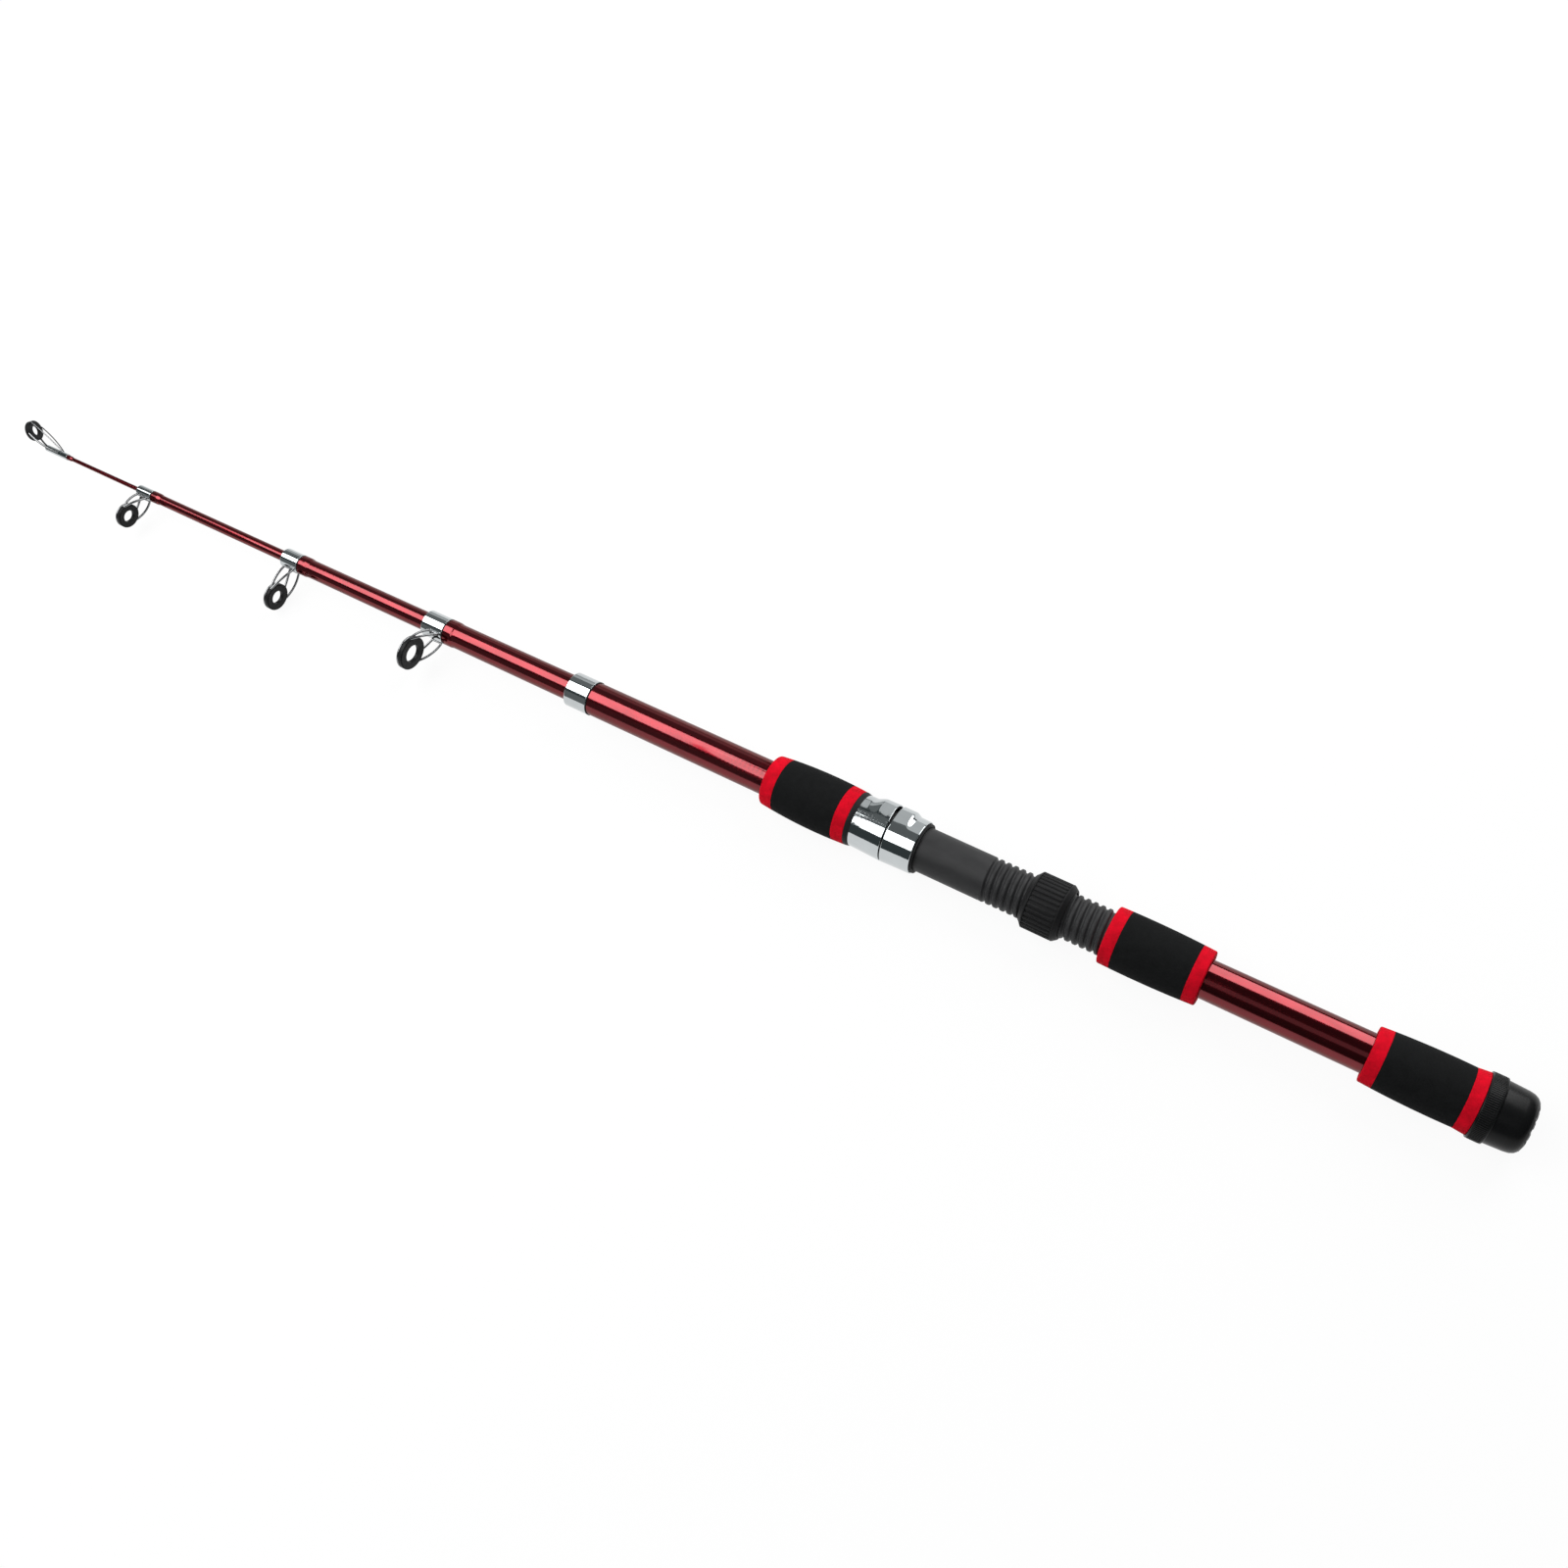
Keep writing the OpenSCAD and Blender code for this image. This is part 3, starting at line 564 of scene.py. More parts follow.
def lacquer_finish(name, settings):
    """Candy red lacquer over a metallic ground, with the tape's faint ridges."""
    finish, tree, shader, place = new_finish(name)
    cloud = noise_of(tree, stretched(tree, place, (0.35, 1.0, 1.0)), scale=260, detail=4)
    grain = noise_of(tree, place, scale=5200, detail=3)
    ridge_scale = 2 * math.pi / (20 * settings.wrap_pitch)
    wave = node_of(tree, "ShaderNodeTexWave", {
        "Vector": place, "Scale": ridge_scale, "Distortion": 1.6, "Detail": 1.0, "Detail Scale": 0.6,
    }, wave_type="BANDS", bands_direction="X")
    ridges = bump_of(tree, wave.outputs["Fac"], strength=0.10, distance=0.00006)
    feed(tree, shader, {
        "Base Color": ramp_of(tree, cloud, 0.35, 0.7, settings.lacquer_deep, settings.lacquer),
        "Roughness": rough_of(tree, grain, 0.12, 0.20),
        "Normal": bump_of(tree, grain, strength=0.05, distance=0.00002, below=ridges),
        "Metallic": 0.95,
        "Specular Tint": (0.4, 0.06, 0.10, 1.0),
        "Coat Weight": 0.6,
        "Coat Roughness": 0.05,
        "Coat IOR": 1.5,
    })
    return finish


def plate_finish(name, settings):
    """Chrome plate with fine handling marks."""
    finish, tree, shader, place = new_finish(name)
    tarnish = noise_of(tree, place, scale=180, detail=5)
    marks = noise_of(tree, stretched(tree, place, (0.25, 1.0, 1.0)), scale=2600, detail=4, roughness=0.65)
    dents = noise_of(tree, place, scale=190, detail=2)
    soft = bump_of(tree, dents, strength=0.06, distance=0.0004)
    feed(tree, shader, {
        "Base Color": ramp_of(tree, tarnish, 0.3, 0.75, shade(settings.chrome, 0.93), settings.chrome),
        "Roughness": rough_of(tree, marks, 0.03, 0.09, low=0.35),
        "Normal": bump_of(tree, marks, strength=0.03, distance=0.00003, below=soft),
        "Metallic": 1.0,
    })
    return finish


def steel_finish(name, settings):
    """Drawn steel wire, greyer than the plated collars."""
    finish, tree, shader, place = new_finish(name)
    drawn = noise_of(tree, place, scale=1400, detail=4, roughness=0.6)
    feed(tree, shader, {
        "Base Color": ramp_of(tree, drawn, 0.3, 0.7, shade(settings.steel, 0.8), settings.steel),
        "Roughness": rough_of(tree, drawn, 0.16, 0.28),
        "Normal": bump_of(tree, drawn, strength=0.05, distance=0.00003),
        "Metallic": 1.0,
    })
    return finish


def foam_finish(name, colour):
    """Closed-cell foam, ground smooth, with its cut cells showing."""
    finish, tree, shader, place = new_finish(name)
    cells_per_metre = 2600
    blotch = noise_of(tree, place, scale=320, detail=4)
    cells = cells_of(tree, place, cells_per_metre)
    fine = noise_of(tree, place, scale=1.7 * cells_per_metre, detail=3)
    pores = bump_of(tree, cells, strength=0.22, distance=0.00012)
    feed(tree, shader, {
        "Base Color": ramp_of(tree, blotch, 0.32, 0.7, shade(colour, 0.84), shade(colour, 1.18)),
        "Roughness": rough_of(tree, blotch, 0.72, 0.88),
        "Normal": bump_of(tree, fine, strength=0.18, distance=0.00006, below=pores),
        "Specular IOR Level": 0.05,
    })
    return finish


def plastic_finish(name, colour, rough, grain, gloss):
    """Moulded plastic with a slightly uneven sheen."""
    finish, tree, shader, place = new_finish(name)
    flow = noise_of(tree, stretched(tree, place, (0.4, 1.0, 1.0)), scale=210, detail=5)
    fine = noise_of(tree, place, scale=grain, detail=4, roughness=0.6)
    feed(tree, shader, {
        "Base Color": ramp_of(tree, flow, 0.3, 0.7, shade(colour, 0.85), shade(colour, 1.2)),
        "Roughness": rough_of(tree, fine, *rough),
        "Normal": bump_of(tree, fine, strength=0.12, distance=0.00004),
        "Specular IOR Level": gloss,
    })
    return finish


def ceramic_finish(name, colour):
    """Black sintered ring with a fine grit."""
    finish, tree, shader, place = new_finish(name)
    fleck = noise_of(tree, place, scale=3800, detail=3)
    feed(tree, shader, {
        "Base Color": ramp_of(tree, fleck, 0.35, 0.75, shade(colour, 0.8), shade(colour, 1.35)),
        "Roughness": rough_of(tree, fleck, 0.30, 0.42),
        "Normal": bump_of(tree, fleck, strength=0.08, distance=0.00003),
        "Specular IOR Level": 0.10,
    })
    return finish


def cork_finish(name):
    """Pressed cork of the hidden arbors and the plug's buffer."""
    finish, tree, shader, place = new_finish(name)
    grains = cells_of(tree, place, scale=900)
    pits = noise_of(tree, place, scale=1500, detail=4)
    feed(tree, shader, {
        "Base Color": ramp_of(tree, grains, 0.1, 0.7, (0.20, 0.11, 0.05), (0.50, 0.33, 0.18)),
        "Roughness": rough_of(tree, pits, 0.75, 0.95),
        "Normal": bump_of(tree, pits, strength=0.4, distance=0.0002),
    })
    return finish


def finish_named(name, scene):
    """The finish of that name, made the first time it is asked for."""
    found = bpy.data.materials.get(name)
    if found is not None:
        return found
    makers = {
        "red_lacquer": lambda: lacquer_finish(name, scene.rod_blanks),
        "chrome_plate": lambda: plate_finish(name, scene.rod_collars),
        "wire_steel": lambda: steel_finish(name, scene.rod_guides),
        "black_grip_foam": lambda: foam_finish(name, scene.rod_grips.foam),
        "red_grip_foam": lambda: foam_finish(name, scene.rod_grips.red),
        "seat_moulding": lambda: plastic_finish(
            name, scene.rod_seat.plastic, rough=(0.42, 0.54), grain=2400, gloss=0.16),
        "nut_plastic": lambda: plastic_finish(
            name, scene.rod_nut.plastic, rough=(0.45, 0.60), grain=2400, gloss=0.10),
        "cap_moulding": lambda: plastic_finish(
            name, scene.rod_cap.plastic, rough=(0.27, 0.36), grain=1500, gloss=0.13),
        "black_ceramic": lambda: ceramic_finish(name, scene.rod_guides.ceramic),
        "pressed_cork": lambda: cork_finish(name),
    }
    return makers[name]()


# Geometry Nodes trees


def new_tree(name, sockets):
    """A geometry tree with its group nodes, and the identifiers of its inputs by name."""
    tree = bpy.data.node_groups.new(name, "GeometryNodeTree")
    tree.interface.new_socket(name="Geometry", in_out="OUTPUT", socket_type="NodeSocketGeometry")
    keys = {}
    for label, kind in sockets:
        keys[label] = tree.interface.new_socket(name=label, in_out="INPUT", socket_type=kind).identifier
    entry = tree.nodes.new("NodeGroupInput")
    leave = tree.nodes.new("NodeGroupOutput")
    return tree, keys, entry, leave


def close_tree(tree, entry, leave, geometry):
    """Realize what the tree made, give it its finish and send it out."""
    real = node_of(tree, "GeometryNodeRealizeInstances", {"Geometry": geometry})
    paint = node_of(tree, "GeometryNodeSetMaterial", {
        "Geometry": real.outputs["Geometry"], "Material": entry.outputs["Finish"]})
    feed(tree, leave, {"Geometry": paint.outputs["Geometry"]})


def thread_tree():
    """A helical thread raised on a tube where the attribute thread_share allows it."""
    tree, keys, entry, leave = new_tree("Seat thread", [
        ("Geometry", "NodeSocketGeometry"), ("Pitch", "NodeSocketFloat"), ("Depth", "NodeSocketFloat"),
        ("Start", "NodeSocketFloat"), ("Finish", "NodeSocketMaterial")])
    position = node_of(tree, "GeometryNodeInputPosition")
    parts = node_of(tree, "ShaderNodeSeparateXYZ", {"Vector": position.outputs["Position"]})
    angle = math_node(tree, "ARCTAN2", parts.outputs["Z"], parts.outputs["Y"])
    turn = math_node(tree, "DIVIDE", angle, 2 * math.pi)
    along = math_node(tree, "SUBTRACT", parts.outputs["X"], entry.outputs["Start"])
    steps = math_node(tree, "DIVIDE", along, entry.outputs["Pitch"])
    phase = math_node(tree, "SUBTRACT", steps, turn)
    flank = math_node(tree, "PINGPONG", phase, 0.5)
    # Places in a pitch, from the root's middle, where the flank starts and ends
    flank_start = 0.06
    flank_end = 0.36
    shape = node_of(tree, "ShaderNodeMapRange", {
        "Value": flank, "From Min": flank_start, "From Max": flank_end}, interpolation_type="SMOOTHSTEP")
    share = node_of(tree, "GeometryNodeInputNamedAttribute", {"Name": "thread_share"}, data_type="FLOAT")
    height = math_node(tree, "MULTIPLY", shape.outputs["Result"], entry.outputs["Depth"])
    lift = math_node(tree, "MULTIPLY", height, share.outputs["Attribute"])
    across = node_of(tree, "ShaderNodeCombineXYZ", {"Y": parts.outputs["Y"], "Z": parts.outputs["Z"]})
    outward = node_of(tree, "ShaderNodeVectorMath", {0: across.outputs["Vector"]}, operation="NORMALIZE")
    offset = node_of(tree, "ShaderNodeVectorMath", {
        0: outward.outputs["Vector"], "Scale": lift}, operation="SCALE")
    raised = node_of(tree, "GeometryNodeSetPosition", {
        "Geometry": entry.outputs["Geometry"], "Offset": offset.outputs["Vector"]})
    close_tree(tree, entry, leave, raised.outputs["Geometry"])
    return tree, keys


def ribs_tree():
    """Copies of one rib set round the rod's axis on a turned piece."""
    tree, keys, entry, leave = new_tree("Ribs round the rod", [
        ("Geometry", "NodeSocketGeometry"), ("Rib", "NodeSocketObject"), ("Count", "NodeSocketInt"),
        ("Radius", "NodeSocketFloat"), ("Finish", "NodeSocketMaterial")])
    circle = node_of(tree, "GeometryNodeMeshCircle", {
        "Vertices": entry.outputs["Count"], "Radius": entry.outputs["Radius"]})
    stand = node_of(tree, "GeometryNodeTransform", {
        "Geometry": circle.outputs["Mesh"], "Rotation": (0.0, math.pi / 2, 0.0)})
    rib = node_of(tree, "GeometryNodeObjectInfo", {"Object": entry.outputs["Rib"]})
    position = node_of(tree, "GeometryNodeInputPosition")
    face = node_of(tree, "FunctionNodeAlignRotationToVector", {
        "Vector": position.outputs["Position"]}, axis="Z", pivot_axis="X")
    copies = node_of(tree, "GeometryNodeInstanceOnPoints", {
        "Points": stand.outputs["Geometry"], "Instance": rib.outputs["Geometry"],
        "Rotation": face.outputs["Rotation"]})
    join = node_of(tree, "GeometryNodeJoinGeometry", {"Geometry": copies.outputs["Instances"]})
    feed(tree, join, {"Geometry": entry.outputs["Geometry"]})
    close_tree(tree, entry, leave, join.outputs["Geometry"])
    return tree, keys


def wire_tree():
    """Round wire drawn along the edges of a path."""
    tree, keys, entry, leave = new_tree("Guide wire", [
        ("Geometry", "NodeSocketGeometry"), ("Radius", "NodeSocketFloat"),
        ("Finish", "NodeSocketMaterial")])
    path = node_of(tree, "GeometryNodeMeshToCurve", {"Mesh": entry.outputs["Geometry"]})
    section = node_of(tree, "GeometryNodeCurvePrimitiveCircle", {
        "Resolution": 16, "Radius": entry.outputs["Radius"]})
    tube = node_of(tree, "GeometryNodeCurveToMesh", {
        "Curve": path.outputs["Curve"], "Profile Curve": section.outputs["Curve"], "Fill Caps": True})
    close_tree(tree, entry, leave, tube.outputs["Mesh"])
    return tree, keys


def tree_named(name):
    """The tree of that name and its inputs, made the first time it is asked for."""
    found = bpy.data.node_groups.get(name)
    if found is not None:
        inputs = [s for s in found.interface.items_tree if s.in_out == "INPUT"]
        return found, {s.name: s.identifier for s in inputs}
    makers = {"Seat thread": thread_tree, "Ribs round the rod": ribs_tree, "Guide wire": wire_tree}
    return makers[name]()


def grown(piece, tree_name, values, crease=40):
    """The piece with a tree's result as its own plain mesh."""
    tree, keys = tree_named(tree_name)
    modifier = piece.modifiers.new(tree_name, "NODES")
    modifier.node_group = tree
    for label, value in values.items():
        modifier[keys[label]] = value
    bpy.context.view_layer.update()
    seen = bpy.context.evaluated_depsgraph_get()
    seen.update()
    result = bpy.data.meshes.new_from_object(piece.evaluated_get(seen), depsgraph=seen)
    piece.modifiers.remove(modifier)
    old = piece.data
    piece.data = result
    result.name = piece.name
    bpy.data.meshes.remove(old)
    for attribute in [a for a in result.attributes if a.name == "thread_share"]:
        result.attributes.remove(attribute)
    result.shade_smooth()
    result.set_sharp_from_angle(angle=math.radians(crease))
    return piece


# Tubes and collars


def butt_radius(x, settings):
    """Outer radius of the butt tube at a place along the rod."""
    start, end = node_span("butt_blank")
    thick = node_radius("butt_blank")
    thin = settings.butt_mouth / MM / 2
    return thick + (thin - thick) * (x - start) / (end - start)


def section_outline(node, collar, mouth_r, wall, whip, slow=None):
    """Outline of a drawn section: taper, whipping, neck under the collar, and bore."""
    base, mouth = node_span(node)
    base_r = node_radius(node)
    neck = node_span(collar)[0] - SEAM - GLUE
    whip_r = node_radius(collar)
    whip_ramp = 1.5
    outer = [(base, base_r, 0.2)]
    if slow is not None:
        outer.append((*slow, 6.0))
    from_x, from_r = outer[-1][:2]

    def taper(x):
        return from_r + (mouth_r - from_r) * (x - from_x) / (mouth - from_x)

    foot = neck - whip - whip_ramp
    outer += [(foot, taper(foot), 0.8), (neck - whip, whip_r, 0.8), (neck, whip_r, 0.25),
              (neck, taper(neck), 0.0), (mouth, mouth_r, 0.2)]
    return outer + [(mouth, mouth_r - wall, 0.1), (base, base_r - wall, 0.1)]


class ROD_OT_blanks(bpy.types.Operator):
    """Build the red tubes that slide in one another, and the solid tip"""

    bl_idname = "rod.blanks"
    bl_label = "Blanks"

    def execute(self, context):
        s = context.scene.rod_blanks
        lacquer = finish_named("red_lacquer", context.scene)
        start, end = node_span("butt_blank")
        wall = s.butt_wall / MM
        butt = [(start, butt_radius(start, s) - wall, 0.1), (start, butt_radius(start, s), 0.2),
                (end, butt_radius(end, s), 0.2), (end, butt_radius(end, s) - wall, 0.1)]
        dress(turned_piece("butt_tube", butt, lacquer, count=128), "handle", "red_blank", "butt_blank")
        # Section 2 hardly tapers over this length behind its mouth, and tapers more from there back
        slow_length = 110
        slow_gain = 0.12
        slow = {"section_2": (node_span("section_2_collar")[1] - slow_length,
                              s.mouths[2] / MM / 2 + slow_gain)}
        for name, mouth, section_wall in zip(SECTIONS, s.mouths, s.walls):
            outline = section_outline(f"{name}_blank", f"{name}_collar", mouth / MM / 2,
                                      section_wall / MM, s.whip / MM, slow.get(name))
            tube = turned_piece(f"{name}_tube", outline, lacquer, count=112)
            dress(tube, name, "red_blank", f"{name}_blank")
        piece = turned_piece("tip_rod", self.tip_outline(s), lacquer, count=64, closed=False)
        dress(piece, "tip", "red_blank", "tip_blank")
        return {"FINISHED"}

    def tip_outline(self, s):
        """Outline of the solid tip, with a short whipping behind the tip-top's tube."""
        base, end = node_span("tip_blank")
        thin = s.tip / MM / 2
        thick = node_radius("tip_blank")
        wrap = node_span("tip_top_tube")[0] - GLUE
        wrap_r = thin + (thick - thin) * (end - wrap) / (end - base)
        wrap_length = 2.4
        wrap_ramp = 0.8
        wrap_lift = 0.3
        rise = wrap - wrap_length
        return [(base, 0.0, 0.0), (base, thick, 0.3), (rise - wrap_ramp, wrap_r, 0.6),
                (rise, wrap_r + wrap_lift, 0.6), (wrap, wrap_r + wrap_lift, 0.2), (wrap, wrap_r, 0.0),
                (end, thin, 0.1), (end, 0.0, 0.0)]


class ROD_OT_collars(bpy.types.Operator):
    """Build the chrome collars over the tube mouths, each with a dark ring behind it"""

    bl_idname = "rod.collars"
    bl_label = "Collars"

    def execute(self, context):
        s = context.scene.rod_collars
        blanks = context.scene.rod_blanks
        plate = finish_named("chrome_plate", context.scene)
        dark_ring_plastic = finish_named("nut_plastic", context.scene)
        wall = s.wall / MM
        edge = s.edge / MM
        lip_width = 0.6
        mouths = [blanks.butt_mouth, *blanks.mouths]
        walls = [blanks.butt_wall, *blanks.walls]
        nodes = ["winding_check", *(f"{name}_collar" for name in SECTIONS)]
        bodies = ["handle", *SECTIONS]
        for node, body, mouth, tube_wall in zip(nodes, bodies, mouths, walls):
            start, end = node_span(node)
            out_r = node_radius(node)
            mouth_r = mouth / MM / 2
            hole_r = mouth_r - tube_wall / MM + GLUE
            lip = end - lip_width
            corners = [(start, out_r - wall, 0.04), (start, out_r, 0.15), (end, out_r, edge),
                       (end, hole_r, 0.15), (lip, hole_r, 0.0), (lip, mouth_r + GLUE, 0.0)]
            collar = turned_piece(f"{node}_sleeve", corners, plate, count=112)
            # A thin dark ring of the nut's plastic just behind the collar's rear end
            dark_ring_outline = [(start - SEAM, mouth_r + GLUE, 0.0), (start - SEAM, out_r - GLUE, 0.15),
                    (start - GLUE, out_r - GLUE, 0.1), (start - GLUE, mouth_r + GLUE, 0.0)]
            seam = turned_piece(f"{node}_seam", dark_ring_outline, dark_ring_plastic, count=112)
            dress(merge_pieces(f"{node}_tube", [collar, seam]), body, "chrome", node)
        return {"FINISHED"}


# Grips


class ROD_OT_grips(bpy.types.Operator):
    """Build the three foam grips with their red end rings, and the fore grip's trim"""

    bl_idname = "rod.grips"
    bl_label = "Grips"

    def execute(self, context):
        s = context.scene.rod_grips
        blanks = context.scene.rod_blanks
        red = ("red_grip_foam", "red_foam")
        looks = {"sleeve": ("black_grip_foam", "black_foam"), "front_ring": red, "rear_ring": red}
        # Rounding of each grip's rear and front end, and of the joints between its pieces
        ends = {"butt": (0.25, 0.9), "rear": (1.1, 1.0), "fore": (0.25, 1.2)}
        joint_ease = 0.16
        cap_flare = 0.65
        for grip, crown, arc in zip(("butt", "rear", "fore"), s.crowns, s.arcs):
            crown_r = node_radius(f"{grip}_grip_sleeve")
            for part, (finish, slot) in looks.items():
                node = f"{grip}_grip_{part}"
                start, end = node_span(node)
                if node == "fore_grip_rear_ring":
                    start -= TRIM_COVER
                rear_ease = ends[grip][0] if part == "rear_ring" else joint_ease
                front_ease = ends[grip][1] if part == "front_ring" else joint_ease
                flare = cap_flare if node == "butt_grip_rear_ring" else 0.0
                corners = self.outline(start, end, crown / MM, arc / MM, crown_r, flare,
                                       rear_ease, front_ease, blanks)
                foam = finish_named(finish, context.scene)
                piece = turned_piece(f"{node}_foam", corners, foam, count=120)
                dress(piece, "handle", slot, node)
        plastic = finish_named("nut_plastic", context.scene)
        trim_corners = self.trim_outline(context.scene)
        trim = turned_piece("fore_grip_trim_moulding", trim_corners, plastic, count=120)
        dress(trim, "handle", "seat_plastic", "fore_grip_trim_ring")
        return {"FINISHED"}

    def outline(self, start, end, crown, arc, crown_r, flare, rear_ease, front_ease, blanks):
        """Outline of one foam piece: its stretch of the grip's long curve, and its bore."""
        count = 14
        # Points closer to an end than this many of its roundings are left out, to leave the corner room
        clear = 1.3
        corners = [(start, butt_radius(start, blanks) + GLUE, 0.1)]
        for k in range(count + 1):
            x = start + (end - start) * k / count
            r = crown_r - arc + math.sqrt(arc * arc - (x - crown) ** 2)
            r += flare * (end - x) / (end - start)
            ease = rear_ease if k == 0 else front_ease if k == count else 0.0
            if 0 < x - start < rear_ease * clear or 0 < end - x < front_ease * clear:
                continue
            corners.append((x, r, ease))
        corners.append((end, butt_radius(end, blanks) + GLUE, 0.1))
        return corners

    def trim_outline(self, scene):
        """Outline of the fore grip's trim, which widens from the fixed hood to the red ring."""
        start, end = node_span("fore_grip_trim_ring")
        start -= TRIM_LIP
        end -= TRIM_COVER
        stand = 0.12
        band = 0.6
        rear_r = scene.rod_hoods.nose / MM + stand
        front_r = node_radius("fore_grip_trim_ring")
        return [(start, butt_radius(start, scene.rod_blanks) + GLUE, 0.1), (start, rear_r, 0.2),
                (end - band, front_r, 0.4), (end, front_r, 0.15),
                (end, butt_radius(end, scene.rod_blanks) + GLUE, 0.1)]


# Reel seat


def pocket_reach(run, turn, straight, radius, offset):
    """Radius of the pocket's round back, seen from the axis, at a run from the mouth."""
    beyond = max(0.0, run - straight)
    if beyond >= radius:
        return 0.0
    across = math.sqrt(radius * radius - beyond * beyond)
    side = offset * math.sin(turn)
    if abs(side) >= across:
        return 0.0
    return max(0.0, offset * math.cos(turn) + math.sqrt(across * across - side * side))


class ROD_OT_seat(bpy.types.Operator):
    """Build the reel seat's tube with its helical thread and keyway"""

    bl_idname = "rod.seat"
    bl_label = "Reel seat"

    def execute(self, context):
        s = context.scene.rod_seat
        hoods = context.scene.rod_hoods
        start, end = node_span("seat_body")
        thread_end = start + s.thread_length / MM
        mouth = node_span("fixed_hood")[0]
        rows = self.rows(start, end, thread_end, mouth, s.pitch / MM)
        angles = self.angles(s)
        loops = []
        shares = []
        for x in rows:
            loop = []
            for a in angles:
                r, share = self.radius(x, a, start, thread_end, mouth, end, s, hoods)
                loop.append((x, r * math.cos(a), r * math.sin(a)))
                shares.append(share)
            loops.append(loop)
        bore = s.bore / MM / 2
        for x in (end, start):
            loops.append([(x, bore * math.cos(a), bore * math.sin(a)) for a in angles])
            shares.extend([0.0] * len(angles))
        points, faces = stitched(loops, True)
        plastic = finish_named("seat_moulding", context.scene)
        seat = piece_from("reel_seat_tube", points, faces, plastic)
        attribute = seat.data.attributes.new("thread_share", "FLOAT", "POINT")
        attribute.data.foreach_set("value", shares)
        grown(seat, "Seat thread", {"Pitch": s.pitch, "Depth": s.depth, "Start": start * MM,
                                    "Finish": plastic}, crease=50)
        dress(seat, "handle", "seat_plastic", "seat_body")
        return {"FINISHED"}

    def rows(self, start, end, thread_end, mouth, pitch):
        """Places of the rings along the seat, close together on the thread."""
        rows = [start + x for x in (0.0, 0.12, 0.3, SEAT_BEVEL)]
        rings_per_pitch = 13
        step = pitch / rings_per_pitch
        first_ring = 0.7
        overrun = 0.4
        x = start + first_ring
        while x < thread_end + overrun:
            rows.append(x)
            x += step
        rows += [thread_end + 2 * overrun, thread_end + 12, mouth - 6]
        rows += [mouth + KEY_END, mouth + SHOULDER - 0.02, mouth + SHOULDER]
        inside = SHOULDER + 0.1
        count = 12
        rows += [mouth + inside + (end - mouth - inside) * k / count for k in range(count + 1)]
        return rows

    def angles(self, s):
        """Angles of the columns, with a pair at each edge of the keyway."""
        half = math.asin(s.key_width / s.diameter)
        columns = 128
        clear = 0.02
        pair = 0.006
        angles = [2 * math.pi * k / columns for k in range(columns)]
        for edge in (s.key_angle - half, s.key_angle + half):
            angles = [a for a in angles if abs(a - edge) > clear]
            angles += [edge - pair, edge + pair]
        return sorted(angles)

    def radius(self, x, a, start, thread_end, mouth, end, s, hoods):
        """Radius of the plain tube at a place, and the share of thread that goes on it."""
        seat_r = s.diameter / MM / 2
        depth = s.depth / MM
        # Lengths over which the thread runs out in front, and where and how fast it starts behind
        run_out = 0.9
        lead_in = 0.4
        lead_rise = 0.6
        r = seat_r
        share = 0.0
        if x <= thread_end:
            run = min(1.0, (thread_end - x) / run_out)
            share = run * min(1.0, max(0.0, (x - start - lead_in) / lead_rise))
            r = seat_r - depth * run
        if x < start + SEAT_BEVEL:
            r = min(r, seat_r - SEAT_BEVEL + (x - start))
        swing = math.asin(s.key_width / s.diameter)
        off = abs(math.remainder(a - s.key_angle, 2 * math.pi))
        if off < swing and x < mouth + KEY_END:
            r = min(r, (seat_r - s.key_depth / MM) / math.cos(off))
            share = 0.0
        if x >= mouth + SHOULDER:
            r = self.collar_radius(x, a, mouth, end, seat_r, hoods)
        return r, share

    def collar_radius(self, x, a, mouth, end, seat_r, hoods):
        """Radius of the shoulder that fills the fixed hood, open where its pocket is."""
        skin = hoods.wall / MM + GLUE
        run = x - mouth
        share = (run - SHOULDER) / (end - mouth - SHOULDER)
        near = hoods.mouth / MM - skin - GLUE
        far = hoods.nose / MM - skin
        shoulder = near + (far - near) * share
        turn = math.remainder(a - hoods.angle, 2 * math.pi)
        end_gap = 0.1
        back_wall = 0.4
        foot_room = 0.25
        inner = (hoods.pocket - hoods.wall) / MM
        straight = end - mouth - end_gap - hoods.pocket / MM - back_wall
        reach = pocket_reach(run, turn, straight, inner, hoods.offset / MM)
        return seat_r if reach > seat_r + foot_room else shoulder


